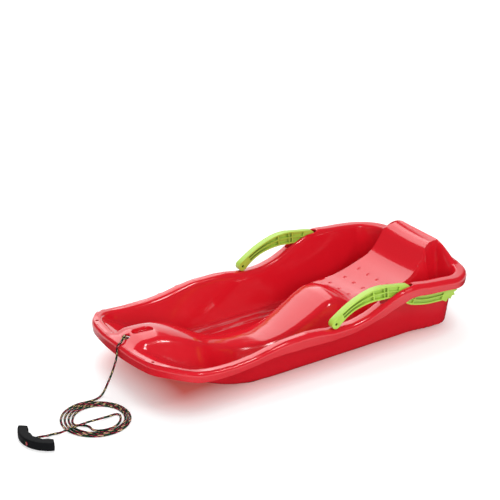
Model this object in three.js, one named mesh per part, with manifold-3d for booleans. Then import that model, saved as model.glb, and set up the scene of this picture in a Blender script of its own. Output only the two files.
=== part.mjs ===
// Moulded bob sled with two brake levers, a braided tow rope and a T-handle.
// Units are millimetres. +Z is up, the nose points along -Y and the rider's left is +X.
// The origin lies on the ground under the middle of the sled.
import * as THREE from 'three';
import { mergeVertices } from 'three/addons/utils/BufferGeometryUtils.js';
import Module from 'manifold-3d';

const wasm = await Module();
wasm.setup();

// Driving dimensions of the hull
const LENGTH = 891;
const WIDTH = 424;
const CREST_HEIGHT = 181;
const RIM_HEIGHT = 156;
const NOSE_CREST = 135;
const DECK_HEIGHT = 118;
const POMMEL_HEIGHT = 101;
const SEAT_HEIGHT = 78;
const FLOOR_HEIGHT = 8;
const WALL = 3;
const NOSE_RADIUS = 80;
const TAIL_RADIUS = 88;
const NOSE_SAG = 13;
const NOSE_SAG_REACH = 122;
const RIM_ROUND = 11;
const RIM_REACH = 35;
const LIP_DEPTH = 39;
const LIP_DRAFT = 2;
const TAIL_STEEPNESS_SHARE = 8;
const SPINE_HALF = 54;
const SPINE_CROWN = 7;
const SPINE_STEEPNESS_SHARE = 1.7;
const SEAT_HALF = 86;
const SEAT_STEEPNESS_SHARE = 4;
const SEAT_DISH = 3;
const CREST_HALF = 60;
const SHOULDER_REACH = 132;
const CREST_INSET = 25.5;
const CREST_BACK = 16;
const CREST_FRONT = 35;
const BULGE_POWER = 2;
const RUNNER_DEPTH = 5;
const RUNNER_WIDTH = 12;
const RUNNER_RAMP = 5;
const RUNNER_SNAP = 0.9;
const RUNNER_FADE = 44;
const FLOOR_FILLET = 16;
const SPINE_FILLET = 14;
const SEAT_FILLET = 10;
const EDGE_FILLET = 8;

// Tow hole, hang slot and drain holes in the nose deck
const TOW_HOLE_RADIUS = 9;
const TOW_HOLE_INSET = 30;
const HANG_SLOT_INSET = 73;
const HANG_SLOT_LENGTH = 52;
const HANG_SLOT_WIDTH = 22;
const HANG_SLOT_DEPTH = 10;
const DECK_HOLE_RADIUS = 4;
const DECK_HOLE_OFFSET = 122;
const DECK_HOLE_INSET = 26;
const CUT_OVERRUN = 4;

// Brake levers, their slots and their pins
const LEVER_INSET = 18.4;
const SLOT_WIDTH = 15;
const SLOT_AHEAD = 69;
const SLOT_BEHIND = 23.5;
const PIVOT_INSET = 223;
const PIVOT_DROP = 14.8;
const PIN_RADIUS = 2.5;
const PIN_GAP = 0.3;
const HUB_RADIUS = 12;
const EAR_RADIUS = 10;
const EAR_THICKNESS = 4;
const EAR_TOP_DROP = 3;
const BLADE_WIDTH = 12.6;
const GRIP_WIDTH = 16;
const WEB_THICKNESS = 3;
const FLANGE = 3.6;
const CROSS_RIB = 2.4;
const LEVER_REACH = 201;
const LEVER_RISE = 37;
const BLADE_REACH = 163;
const BLADE_DROP = 59;
const BOSS_RADIUS = 11.5;
const BOSS_HOLE_RADIUS = 3.5;
const BOSS_LIFT = 1.1;
const BOSS_LEAN_DEGREES = 33;

// Tow rope, its coil, its knots and the handle
const ROPE_DIAMETER = 5;
const ROPE_SIDES = 8;
const ROPE_STEP = 7;
const ROPE_MOST_STEPS = 80;
const ROPE_REST = 2.8;
const PIECE_GAP = 0.3;
const COIL_CENTRE = [87.8, -546.1];
const COIL_OUTER = 78.2;
const COIL_PITCH = 7;
const COIL_DRIFT = [0.84, 1.24];
const COIL_START_DEGREES = 165;
const COIL_TURNS = 3.2;
const COIL_STEPS = 24;
const COIL_SIDES = 6;
const DECK_KNOT = { radius: 10.5, length: 14 };
const DECK_KNOT_RISE = 2.5;
const HANDLE_KNOT = { radius: 7, length: 10 };
const KNOT_SIDES = 14;
const KNOT_RINGS = 10;
const KNOT_WAIST_SHARE = 0.1;
const HANDLE_CENTRE = [88.4, -655.2];
const HANDLE_ARC = 62;
const HANDLE_TURN_DEGREES = 13.6;
const HANDLE_SWEEP_DEGREES = 98;
const HANDLE_THICK = 20;
const HANDLE_BULK = 21;
const HANDLE_ROUND = 4;
const HANDLE_STEPS = 28;
const HANDLE_BORE = 3.1;
const HANDLE_POCKET = 7.6;
const HANDLE_POCKET_DEPTH = 9;
const SCALLOPS = 4;
const SCALLOP_DEPTH = 1.5;

const NOSE_Y = -LENGTH / 2;
const TAIL_Y = LENGTH / 2;
const PIVOT_Y = TAIL_Y - PIVOT_INSET;
const SEAT_FRONT_SHARE = 0.677;
const RUNNER_FRONT_SHARE = 0.265;
const runnerShares = [0.26, 0.314];
const CORE_HALF_SHARE = 0.335;
const seatFront = NOSE_Y + LENGTH * SEAT_FRONT_SHARE;
const runnerFront = NOSE_Y + LENGTH * RUNNER_FRONT_SHARE;
const runnerPlaces = runnerShares.map((share) => WIDTH * share);

const RED_PLASTIC = { color: 0xcf1b26, roughness: 0.16, metalness: 0 };
const LIME_PLASTIC = { color: 0xa6d84a, roughness: 0.38, metalness: 0 };
const STEEL = { color: 0xb9bcc0, roughness: 0.32, metalness: 1 };
const BLACK_PLASTIC = { color: 0x26282a, roughness: 0.5, metalness: 0 };
const BRAID = { color: 0x1d1b1e, roughness: 0.85, metalness: 0 };

// Profiles along the sled: share of the length from the nose, share of the named size
const rimHeightShares = [
  [0, 0.756], [0.039, 0.753], [0.074, 0.715], [0.112, 0.657], [0.163, 0.625], [0.213, 0.619],
  [0.269, 0.641], [0.321, 0.692], [0.376, 0.728], [0.426, 0.729], [0.475, 0.705], [0.524, 0.663],
  [0.571, 0.667], [0.617, 0.712], [0.662, 0.808], [0.701, 0.917], [0.741, 0.987], [0.774, 1],
  [0.824, 0.968], [0.875, 0.939], [0.943, 0.897], [1, 0.891],
];
const halfWidthShares = [
  [0, 0.906], [0.116, 0.929], [0.202, 0.943], [0.314, 0.948], [0.426, 0.953], [0.539, 0.946],
  [0.628, 0.958], [0.718, 0.974], [0.808, 0.993], [0.853, 1], [0.909, 0.998], [1, 0.981],
];
const rimReachShares = [
  [0, 0.72], [0.09, 0.74], [0.183, 0.63], [0.28, 0.63], [0.364, 0.69], [0.449, 0.8],
  [0.651, 0.86], [0.79, 0.89], [0.898, 1], [1, 0.86],
];
const lipDepthShares = [
  [0, 0.667], [0.153, 0.65], [0.25, 0.6], [0.31, 0.65], [0.366, 0.76], [0.41, 0.815], [0.452, 0.8],
  [0.49, 0.74], [0.53, 0.65], [0.611, 0.62], [0.653, 0.7], [0.692, 0.86], [0.735, 0.89],
  [0.765, 0.74], [0.813, 0.69], [0.86, 0.66], [1, 0.62],
];
const footHalfShares = [
  [0, 0.62], [0.1, 0.66], [0.2, 0.67], [0.27, 0.675], [0.32, 0.697], [0.37, 0.71], [1, 0.712],
];
const wellFloorShares = [
  [0, 1], [0.045, 0.93], [0.09, 0.71], [0.135, 0.5], [0.18, 0.31], [0.224, 0.15],
  [0.269, 0.036], [0.303, 0.003], [0.337, 0], [1, 0],
];
const noseSpineShares = [
  [0, 0.874], [0.034, 0.945], [0.062, 0.996], [0.09, 0.99], [0.123, 0.953], [0.157, 0.882],
  [0.191, 0.783], [0.224, 0.667], [0.258, 0.541], [0.292, 0.441], [0.325, 0.367], [0.37, 0.311],
];
const pommelRampShares = [
  [0.426, 0.381], [0.471, 0.426], [0.516, 0.554], [0.561, 0.743], [0.595, 0.901], [0.623, 0.99],
  [0.642, 1], [0.66, 0.96], [0.679, 0.87], [0.701, 0.72], [0.74, 0.45], [1, 0.2],
];
const spineHalfShares = [
  [0, 1.1], [0.034, 0.85], [0.09, 0.8], [0.135, 0.89], [0.18, 1], [0.213, 0.96], [0.252, 0.78],
  [0.287, 0.67], [0.321, 0.63], [0.377, 0.76], [0.437, 0.85], [0.505, 0.93], [0.595, 1], [1, 0.95],
];
const panHeightShares = [
  [0, 0.98], [0.66, 0.98], [0.74, 1], [0.774, 1.06], [0.808, 1.16], [0.834, 1.255],
];
const backrestShares = [
  [0.854, 0.573], [0.872, 0.616], [0.886, 0.676], [0.899, 0.762], [0.91, 0.849], [0.918, 0.911],
  [0.928, 0.962], [0.943, 0.993], [0.96, 1], [0.972, 0.985], [0.982, 0.9], [0.991, 0.7], [1, 0.5],
];
const seatHalfShares = [
  [0, 0.96], [0.67, 0.985], [0.7, 1], [0.808, 1], [0.872, 0.985], [0.899, 0.965], [0.918, 0.94],
  [0.928, 0.885], [0.946, 0.84], [0.968, 0.83], [1, 0.88],
];

// Smooth curve through table points that never overshoots them
function profile(points) {
  const count = points.length;
  const slopes = points.slice(1).map((p, i) => (p[1] - points[i][1]) / (p[0] - points[i][0]));
  const tangents = points.map((p, i) => {
    if (i === 0) return slopes[0];
    if (i === count - 1) return slopes[count - 2];
    const product = slopes[i - 1] * slopes[i];
    return product <= 0 ? 0 : (2 * product) / (slopes[i - 1] + slopes[i]);
  });
  return (at) => {
    const x = Math.min(Math.max(at, points[0][0]), points[count - 1][0]);
    let i = 0;
    while (i < count - 2 && x > points[i + 1][0]) i += 1;
    const span = points[i + 1][0] - points[i][0];
    const t = (x - points[i][0]) / span;
    const rise = t * t * (3 - 2 * t);
    const start = t * (1 - t) * (1 - t) * span * tangents[i];
    const end = t * t * (t - 1) * span * tangents[i + 1];
    return points[i][1] + rise * (points[i + 1][1] - points[i][1]) + start + end;
  };
}

const scaled = (shares, size) => shares.map(([at, share]) => [at, share * size]);
const along = (points) => {
  const curve = profile(points);
  return (y) => curve((y - NOSE_Y) / LENGTH);
};
const rimBase = along(scaled(rimHeightShares, RIM_HEIGHT));
const halfWidth = along(scaled(halfWidthShares, WIDTH / 2));
const rimReach = along(scaled(rimReachShares, RIM_REACH));
const lipDepth = along(scaled(lipDepthShares, LIP_DEPTH));
const footHalf = along(scaled(footHalfShares, WIDTH / 2));
const wellFloor = along(scaled(wellFloorShares, DECK_HEIGHT - FLOOR_HEIGHT));
const spineTop = along([
  ...scaled(noseSpineShares, NOSE_CREST),
  ...scaled(pommelRampShares, POMMEL_HEIGHT),
]);
const spineHalf = along(scaled(spineHalfShares, SPINE_HALF));
const seatTop = along([
  ...scaled(panHeightShares, SEAT_HEIGHT),
  ...scaled(backrestShares, CREST_HEIGHT),
]);
const seatHalf = along(scaled(seatHalfShares, SEAT_HALF));

const LEVER_OFFSET = halfWidth(PIVOT_Y) - LEVER_INSET;
const PIVOT_Z = rimBase(PIVOT_Y) - PIVOT_DROP;

const clamp01 = (value) => Math.min(Math.max(value, 0), 1);
const ease = (value) => {
  const t = clamp01(value);
  return t * t * (3 - 2 * t);
};
const smoothMax = (a, b, fillet) => {
  const h = Math.max(fillet - Math.abs(a - b), 0) / fillet;
  return Math.max(a, b) + (h * h * h * fillet) / 6;
};
const smoothMin = (a, b, fillet) => -smoothMax(-a, -b, fillet);

// Plan outline: straight-ish sides, a bowed nose and tail, and rounded corners
const noseEdge = (x) => NOSE_Y + NOSE_SAG * (x / NOSE_SAG_REACH) ** 2;
const roundedInset = (side, end, radius) => {
  if (side >= radius || end >= radius) return Math.min(side, end);
  return radius - Math.hypot(radius - side, radius - end);
};
function inset(x, y) {
  const side = halfWidth(y) - Math.abs(x);
  const nose = roundedInset(side, y - noseEdge(x), NOSE_RADIUS);
  return Math.min(nose, roundedInset(side, TAIL_Y - y, TAIL_RADIUS));
}

// Height of the visible surface above the ground at a place in the plan
const bulge = (share) => 1 - clamp01(share) ** BULGE_POWER;
const crestRise = (x, y) => {
  const sides = bulge((Math.abs(x) - CREST_HALF) / (SHOULDER_REACH - CREST_HALF));
  const crest = TAIL_Y - CREST_INSET;
  const front = ease((y - crest + CREST_FRONT) / CREST_FRONT);
  return (CREST_HEIGHT - rimBase(TAIL_Y)) * sides * front * bulge((y - crest) / CREST_BACK);
};
const rimTop = (x, y) => rimBase(y) + crestRise(x, y);
function wallSurface(x, y) {
  const tail = ease((y - (TAIL_Y - 2 * TAIL_RADIUS)) / TAIL_RADIUS);
  const side = (rimBase(y) - FLOOR_HEIGHT) / (halfWidth(y) - rimReach(y) - footHalf(y));
  const steepness = THREE.MathUtils.lerp(side, TAIL_STEEPNESS_SHARE, tail);
  const beyond = smoothMax(0, inset(x, y) - rimReach(y), EDGE_FILLET);
  return rimTop(x, y) - steepness * beyond;
}
function spineSurface(x, y) {
  const half = spineHalf(y);
  const out = Math.abs(x) / half;
  const top = spineTop(y) - SPINE_CROWN * out * out;
  const side = spineTop(y) - SPINE_CROWN - SPINE_STEEPNESS_SHARE * (Math.abs(x) - half);
  return smoothMin(top, side, SPINE_FILLET);
}
function seatSurface(x, y) {
  const half = seatHalf(y);
  const out = clamp01(Math.abs(x) / half);
  const top = seatTop(y) - SEAT_DISH * (1 - out * out);
  const side = seatTop(y) - SEAT_STEEPNESS_SHARE * (Math.abs(x) - half);
  const front = SEAT_HEIGHT + SPINE_STEEPNESS_SHARE * (y - seatFront);
  return smoothMin(smoothMin(top, side, SEAT_FILLET), front, SEAT_FILLET);
}
function floorSurface(x, y) {
  const rise = wellFloor(y);
  const flat = ease((y - runnerFront) / RUNNER_FADE);
  const nearest = Math.min(...runnerPlaces.map((place) => Math.abs(Math.abs(x) - place)));
  const groove = 1 - clamp01((nearest - RUNNER_WIDTH / 2) / RUNNER_RAMP);
  return FLOOR_HEIGHT + rise - RUNNER_DEPTH * groove * flat;
}
function surface(x, y) {
  const tub = smoothMax(floorSurface(x, y), wallSurface(x, y), FLOOR_FILLET);
  const withSpine = smoothMax(tub, spineSurface(x, y), SPINE_FILLET);
  const seat = seatSurface(x, y);
  const below = Math.max(CREST_HEIGHT - SEAT_FILLET - Math.max(withSpine, seat), 0);
  const fillet = SEAT_FILLET + below * ease((y - TAIL_Y + TAIL_RADIUS + CREST_FRONT) / TAIL_RADIUS);
  return smoothMax(withSpine, seat, fillet);
}

// The hull's grid: a core of straight rows inside rings that follow the outline.
// Columns and rows are shares of the core's half width and length.
const coreHalf = WIDTH * CORE_HALF_SHARE;
const CORE_NOSE_INSET = 68;
const CORE_TAIL_INSET = 51;
const columnShares = [
  0, 0.113, 0.225, 0.31, 0.394, 0.493, 0.592, 0.66, 0.697, 0.732, 0.817, 0.859, 0.894, 1,
];
const EDGE_COLUMN = 4;
const FOOT_COLUMN = 7;
const rowShares = [
  0, 0.016, 0.031, 0.048, 0.08, 0.113, 0.148, 0.184, 0.223, 0.262, 0.307, 0.352, 0.404, 0.456, 0.5,
  0.539, 0.573, 0.598, 0.622, 0.643, 0.661, 0.68, 0.699, 0.728, 0.76, 0.799, 0.838, 0.873, 0.903,
  0.926, 0.942, 0.958, 0.969, 0.979, 0.989, 1,
];
const ARC_STEPS = 3;
const columns = columnShares.length - 1;
const rows = rowShares.length - 1;
const coreFront = NOSE_Y + CORE_NOSE_INSET;
const coreRear = TAIL_Y - CORE_TAIL_INSET;

// Half widths of the raised middle of the hull at its upper edge and at its foot. Grid columns
// follow both, so that the folds of the surface run along the grid.
const seatBlend = (y) => ease((y - seatFront + SEAT_HALF / 2) / SEAT_HALF);
const raisedEdge = (y) => THREE.MathUtils.lerp(
  spineHalf(y) + SPINE_FILLET / 4, seatHalf(y) + SEAT_FILLET / 4, seatBlend(y));
function raisedFoot(y) {
  const spine = (spineTop(y) - SPINE_CROWN - floorSurface(0, y)) / SPINE_STEEPNESS_SHARE;
  const seat = (seatTop(y) - floorSurface(0, y)) / SEAT_STEEPNESS_SHARE;
  const slope = Math.max(THREE.MathUtils.lerp(spine, seat, seatBlend(y)), EDGE_FILLET);
  return Math.min(raisedEdge(y) + slope, coreHalf * columnShares[FOOT_COLUMN]);
}
function columnPlace(column, y) {
  const share = columnShares[column];
  const edge = columnShares[EDGE_COLUMN];
  const foot = columnShares[FOOT_COLUMN];
  if (column <= EDGE_COLUMN) return (raisedEdge(y) * share) / edge;
  if (column > FOOT_COLUMN) return coreHalf * share;
  return THREE.MathUtils.mapLinear(share, edge, foot, raisedEdge(y), raisedFoot(y));
}

// Point on the contour at a given inset, on the arc that rounds a corner
function cornerPoint(turn, depth, radius, endAt, inward) {
  const side = radius - (radius - depth) * Math.sin(turn);
  const end = radius - (radius - depth) * Math.cos(turn);
  let x = WIDTH / 2 - side;
  let y = endAt(x) + inward * end;
  for (let pass = 0; pass < ARC_STEPS; pass += 1) {
    x = halfWidth(y) - side;
    y = endAt(x) + inward * end;
  }
  return [x, y];
}
const tailEdge = () => TAIL_Y;

// Half contour at an inset, from the middle of the nose to the middle of the tail
function halfContour(depth) {
  const straight = columns - ARC_STEPS;
  const contour = [];
  const noseStart = cornerPoint(0, depth, NOSE_RADIUS, noseEdge, 1)[0];
  for (let k = 0; k < straight; k += 1) {
    const x = (noseStart * columnShares[k]) / columnShares[straight];
    contour.push([x, noseEdge(x) + depth]);
  }
  for (let k = 0; k <= 2 * ARC_STEPS; k += 1) {
    const turn = (k * Math.PI) / (4 * ARC_STEPS);
    contour.push(cornerPoint(turn, depth, NOSE_RADIUS, noseEdge, 1));
  }
  const first = contour[contour.length - 1][1];
  const last = TAIL_Y - TAIL_RADIUS;
  const low = rowShares[ARC_STEPS];
  const high = rowShares[rows - ARC_STEPS];
  for (let j = ARC_STEPS + 1; j < rows - ARC_STEPS; j += 1) {
    const y = THREE.MathUtils.mapLinear(rowShares[j], low, high, first, last);
    contour.push([halfWidth(y) - depth, y]);
  }
  for (let k = 2 * ARC_STEPS; k >= 0; k -= 1) {
    const turn = (k * Math.PI) / (4 * ARC_STEPS);
    contour.push(cornerPoint(turn, depth, TAIL_RADIUS, tailEdge, -1));
  }
  const tailStart = contour[contour.length - 1][0];
  for (let k = straight - 1; k >= 0; k -= 1) {
    const x = (tailStart * columnShares[k]) / columnShares[straight];
    contour.push([x, TAIL_Y - depth]);
  }
  return contour;
}
function halfCoreBoundary() {
  const front = columnShares.map((share, k) => [columnPlace(k, coreFront), coreFront]);
  const side = rowShares.slice(1, -1).map((share) => [
    coreHalf, THREE.MathUtils.lerp(coreFront, coreRear, share)]);
  const rear = columnShares.map((share, k) => [columnPlace(k, coreRear), coreRear]).reverse();
  return [...front, ...side, ...rear];
}
const closedLoop = (half) => [
  ...half,
  ...half.slice(1, -1).reverse().map(([x, y]) => [-x, y]),
];

// Rings from the lip's lower edge inwards to the core, as full loops of 3-D points. Those over
// the rim's inner edge are shares of its fillet, and those on the wall shares of the way down.
const edgeStepShares = [-0.9, -0.3, 0.35, 1.2];
const wallShares = [0.3, 0.58, 0.8, 1];
const rimTurns = [Math.PI / 6, Math.PI / 3];
function hullRings() {
  const rings = [];
  const shoulder = closedLoop(halfContour(RIM_ROUND));
  const tops = shoulder.map(([x, y]) => surface(x, y));
  const outer = closedLoop(halfContour(0));
  const lipEdge = closedLoop(halfContour(LIP_DRAFT));
  rings.push(lipEdge.map(([x, y]) => [x, y, rimBase(y) - lipDepth(y)]));
  rings.push(outer.map(([x, y], i) => [x, y, tops[i] - RIM_ROUND]));
  for (const turn of rimTurns) {
    const depth = RIM_ROUND * (1 - Math.cos(turn));
    rings.push(closedLoop(halfContour(depth)).map(([x, y], i) => [
      x, y, tops[i] - RIM_ROUND * (1 - Math.sin(turn))]));
  }
  rings.push(shoulder.map(([x, y], i) => [x, y, tops[i]]));
  const core = closedLoop(halfCoreBoundary());
  const edge = shoulder.map(([x, y]) => rimReach(y));
  for (const step of edgeStepShares) {
    rings.push(insetLoop(edge.map((reach) => reach + step * EDGE_FILLET)));
  }
  const wallTop = rings[rings.length - 1];
  for (const share of wallShares) {
    rings.push(wallTop.map(([x, y], i) => {
      const px = THREE.MathUtils.lerp(x, core[i][0], share);
      const py = THREE.MathUtils.lerp(y, core[i][1], share);
      return [px, py, surface(px, py)];
    }));
  }
  return rings;
}

// Loop whose inset changes from point to point
function insetLoop(depths) {
  return depths.map((depth, i) => {
    const [x, y] = closedLoop(halfContour(depth))[i];
    return [x, y, surface(x, y)];
  });
}

// Both skins of the hull: the visible one, and the same one moved inwards by the wall
function hullShell() {
  const rings = hullRings();
  const around = rings[0].length;
  const points = rings.flat();
  const faces = [];
  const quad = (a, b, c, d) => faces.push(a, b, c, a, c, d);
  for (let r = 0; r + 1 < rings.length; r += 1) {
    for (let i = 0; i < around; i += 1) {
      const next = (i + 1) % around;
      quad(r * around + i, r * around + next, (r + 1) * around + next, (r + 1) * around + i);
    }
  }
  addCore(points, (rings.length - 1) * around, around, quad);
  return closeShell(points, faces, around);
}

// Fill the inside of the last ring with straight rows from side to side
function addCore(points, ringStart, around, quad) {
  const last = columnShares.length - 1;
  const index = (row, column) => {
    const side = column - last;
    if (row === 0) return ringStart + ((side + around) % around);
    if (row === rows) return ringStart + around / 2 - side;
    if (side === last) return ringStart + last + row;
    if (side === -last) return ringStart + around - last - row;
    return null;
  };
  const grid = [];
  for (let row = 0; row <= rows; row += 1) {
    const y = THREE.MathUtils.lerp(coreFront, coreRear, rowShares[row]);
    grid.push([]);
    for (let column = 0; column <= 2 * last; column += 1) {
      let at = index(row, column);
      if (at === null) {
        const x = Math.sign(column - last) * columnPlace(Math.abs(column - last), y);
        at = points.push([x, y, surface(x, y)]) - 1;
      }
      grid[row].push(at);
    }
  }
  for (let row = 0; row < rows; row += 1) {
    for (let column = 0; column < 2 * last; column += 1) {
      quad(grid[row][column], grid[row][column + 1], grid[row + 1][column + 1], grid[row + 1][column]);
    }
  }
}

function vertexNormals(points, faces) {
  const normals = points.map(() => new THREE.Vector3());
  const corner = (i) => new THREE.Vector3(...points[i]);
  for (let f = 0; f < faces.length; f += 3) {
    const [a, b, c] = faces.slice(f, f + 3);
    const edge = corner(b).sub(corner(a));
    const normal = edge.cross(corner(c).sub(corner(a)));
    for (const vertex of [a, b, c]) normals[vertex].add(normal);
  }
  return normals.map((normal) => normal.normalize());
}
function closeShell(points, faces, around) {
  const normals = vertexNormals(points, faces);
  const inner = points.map(([x, y, z], i) => {
    const n = normals[i];
    const sink = z - n.z * WALL;
    return [x - n.x * WALL, y - n.y * WALL, sink < RUNNER_SNAP ? 0 : sink];
  });
  const shift = points.length;
  const all = [...points, ...inner];
  const closed = [...faces];
  for (let f = 0; f < faces.length; f += 3) {
    closed.push(faces[f] + shift, faces[f + 2] + shift, faces[f + 1] + shift);
  }
  for (let i = 0; i < around; i += 1) {
    const next = (i + 1) % around;
    closed.push(i, i + shift, next + shift, i, next + shift, next);
  }
  return solidFrom(all.flat(), closed);
}

function solidFrom(positions, indices) {
  return new wasm.Manifold(new wasm.Mesh({
    numProp: 3,
    vertProperties: Float32Array.from(positions),
    triVerts: Uint32Array.from(indices),
  }));
}
function toSolid(geometry) {
  const bare = geometry.clone();
  bare.deleteAttribute('normal');
  bare.deleteAttribute('uv');
  const merged = mergeVertices(bare);
  return solidFrom(merged.attributes.position.array, merged.index.array);
}
function toGeometry(solid) {
  const mesh = solid.getMesh();
  const geometry = new THREE.BufferGeometry();
  geometry.setAttribute('position', new THREE.BufferAttribute(mesh.vertProperties, mesh.numProp));
  geometry.setIndex(new THREE.BufferAttribute(mesh.triVerts, 1));
  geometry.computeVertexNormals();
  return geometry;
}
function named(name, geometry, finish) {
  const mesh = new THREE.Mesh(geometry, new THREE.MeshStandardMaterial(finish));
  mesh.name = name;
  return mesh;
}

// Upright round bar and upright slot, both centred on a place in the plan
function uprightBar(radius, low, high, x, y) {
  const sides = 20;
  const bar = new THREE.CylinderGeometry(radius, radius, high - low, sides);
  bar.rotateX(Math.PI / 2);
  bar.translate(x, y, (high + low) / 2);
  return toSolid(bar);
}
function uprightSlot(width, front, rear, low, high, x) {
  const shape = new THREE.Shape();
  const half = width / 2;
  shape.absarc(0, rear - half, half, 0, Math.PI);
  shape.absarc(0, front + half, half, Math.PI, 2 * Math.PI);
  const bar = new THREE.ExtrudeGeometry(shape, {
    depth: high - low, bevelEnabled: false, curveSegments: 6 });
  bar.translate(x, 0, low);
  return toSolid(bar);
}

// Ear that carries one end of a pin: a rounded tongue that hangs from the rim
function ear(inner, outer) {
  const shape = new THREE.Shape();
  const top = rimBase(PIVOT_Y - EAR_RADIUS) - EAR_TOP_DROP / 2;
  shape.moveTo(EAR_RADIUS, top);
  shape.lineTo(-EAR_RADIUS, top);
  shape.lineTo(-EAR_RADIUS, PIVOT_Z);
  shape.absarc(0, PIVOT_Z, EAR_RADIUS, Math.PI, 2 * Math.PI);
  const tongue = new THREE.ExtrudeGeometry(shape, {
    depth: outer - inner, bevelEnabled: false, curveSegments: 8 });
  tongue.rotateX(Math.PI / 2);
  tongue.rotateZ(Math.PI / 2);
  tongue.translate(inner, PIVOT_Y, 0);
  return toSolid(tongue);
}
function crossBar(radius, inner, outer, sides) {
  const bar = new THREE.CylinderGeometry(radius, radius, outer - inner, sides);
  bar.rotateZ(Math.PI / 2);
  bar.translate((inner + outer) / 2, PIVOT_Y, PIVOT_Z);
  return toSolid(bar);
}
const slotInner = LEVER_OFFSET - SLOT_WIDTH / 2;
const slotOuter = LEVER_OFFSET + SLOT_WIDTH / 2;
const lipInner = () => halfWidth(PIVOT_Y) - WALL;
const pinInner = slotInner - EAR_THICKNESS;
const pinOuter = slotOuter + EAR_THICKNESS;
const PIN_SIDES = 16;

function mirrored(solid) {
  return solid.scale([-1, 1, 1]);
}

function hull() {
  let shell = hullShell();
  const innerEar = ear(pinInner, slotInner);
  const outerEar = ear(slotOuter, lipInner() + WALL / 2);
  const bore = crossBar(PIN_RADIUS + PIN_GAP, pinInner, pinOuter, PIN_SIDES);
  const leverSlot = uprightSlot(SLOT_WIDTH, PIVOT_Y - SLOT_AHEAD, PIVOT_Y + SLOT_BEHIND,
    PIVOT_Z - LIP_DEPTH, RIM_HEIGHT + LIP_DEPTH, LEVER_OFFSET);
  for (const side of [(solid) => solid, mirrored]) {
    shell = shell.add(side(innerEar)).add(side(outerEar));
    shell = shell.subtract(side(leverSlot)).subtract(side(bore));
  }
  return cutDeck(shell);
}

// Holes and hang slot in the nose deck
function cutDeck(shell) {
  const low = DECK_HEIGHT - LIP_DEPTH / 2;
  const high = NOSE_CREST + CUT_OVERRUN;
  const slotCentre = NOSE_Y + HANG_SLOT_INSET;
  const slotFloor = surface(0, slotCentre) - HANG_SLOT_DEPTH;
  const pan = uprightSlot(HANG_SLOT_WIDTH + 2 * WALL, slotCentre - HANG_SLOT_LENGTH / 2 - WALL,
    slotCentre + HANG_SLOT_LENGTH / 2 + WALL, slotFloor - WALL, slotFloor + HANG_SLOT_DEPTH - WALL, 0);
  const hollow = uprightSlot(HANG_SLOT_WIDTH, slotCentre - HANG_SLOT_LENGTH / 2,
    slotCentre + HANG_SLOT_LENGTH / 2, slotFloor, high, 0);
  const towHole = uprightBar(TOW_HOLE_RADIUS, low, high, 0, NOSE_Y + TOW_HOLE_INSET);
  let deck = shell.add(pan).subtract(hollow).subtract(towHole);
  for (const x of [-DECK_HOLE_OFFSET, DECK_HOLE_OFFSET]) {
    const y = noseEdge(x) + DECK_HOLE_INSET / 2;
    deck = deck.subtract(uprightBar(DECK_HOLE_RADIUS, low, high, x, y));
  }
  return deck;
}

// Edges of the lever at matching stations, from behind the boss at the front of the grip to the
// end of the blade. In front of the pivot they are shares of the lever's reach and rise, and
// behind it shares of the blade's reach and drop.
const gripTopShares = [
  [-0.914, 0.02], [-0.79, 0.38], [-0.64, 0.7], [-0.48, 0.9], [-0.32, 0.89], [-0.165, 0.74],
  [0.03, 0.54],
];
const gripUnderShares = [
  [-0.872, -0.47], [-0.75, -0.13], [-0.61, 0.05], [-0.46, 0.11], [-0.305, 0.03], [-0.169, -0.08],
  [-0.08, -0.3],
];
const bladeTopShares = [
  [0.086, 0.15], [0.16, -0.1], [0.258, -0.31], [0.442, -0.41], [0.626, -0.44], [0.816, -0.47],
  [0.93, -0.53],
];
const bladeUnderShares = [
  [-0.018, -0.373], [0.061, -0.53], [0.184, -0.66], [0.4, -0.79], [0.58, -0.83], [0.73, -0.85],
  [0.87, -0.8],
];
const clawShares = [
  [0.68, -0.72], [0.7, -0.85], [0.79, -0.993], [0.832, -0.87], [0.872, -0.937], [0.9, -0.81],
  [0.955, -0.8], [0.93, -0.68], [1, -0.607], [0.9, -0.54],
];
const pocketShares = [0.95, 4.05, 5.05, 5.4, 6.5];
const bladePocketShares = [8.5, 9.7, 12.7];
const STATION_STEPS = 2;
const RIB_STATIONS = 0.1;
const MIDDLE_RIB_SHARE = 0.48;
const WIDE_STATIONS = 5;

const fromShares = (shares, reach, rise) => (
  shares.map(([u, v]) => new THREE.Vector2(u * reach, v * rise)));
// The boss rests on the rim, and both edges leave it along its tangents
const bossCentre = new THREE.Vector2(
  -LEVER_REACH, rimBase(PIVOT_Y - LEVER_REACH) + BOSS_LIFT + BOSS_RADIUS - PIVOT_Z);
const bossSide = (radius) => new THREE.Vector2(0, radius)
  .rotateAround(new THREE.Vector2(), THREE.MathUtils.degToRad(BOSS_LEAN_DEGREES)).add(bossCentre);
const leverTop = new THREE.SplineCurve([
  bossSide(BOSS_RADIUS),
  ...fromShares(gripTopShares, LEVER_REACH, LEVER_RISE),
  ...fromShares(bladeTopShares, BLADE_REACH, BLADE_DROP),
]);
const leverUnder = new THREE.SplineCurve([
  bossSide(-BOSS_RADIUS),
  ...fromShares(gripUnderShares, LEVER_REACH, LEVER_RISE),
  ...fromShares(bladeUnderShares, BLADE_REACH, BLADE_DROP),
]);
const lastStation = leverTop.points.length - 1;

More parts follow.
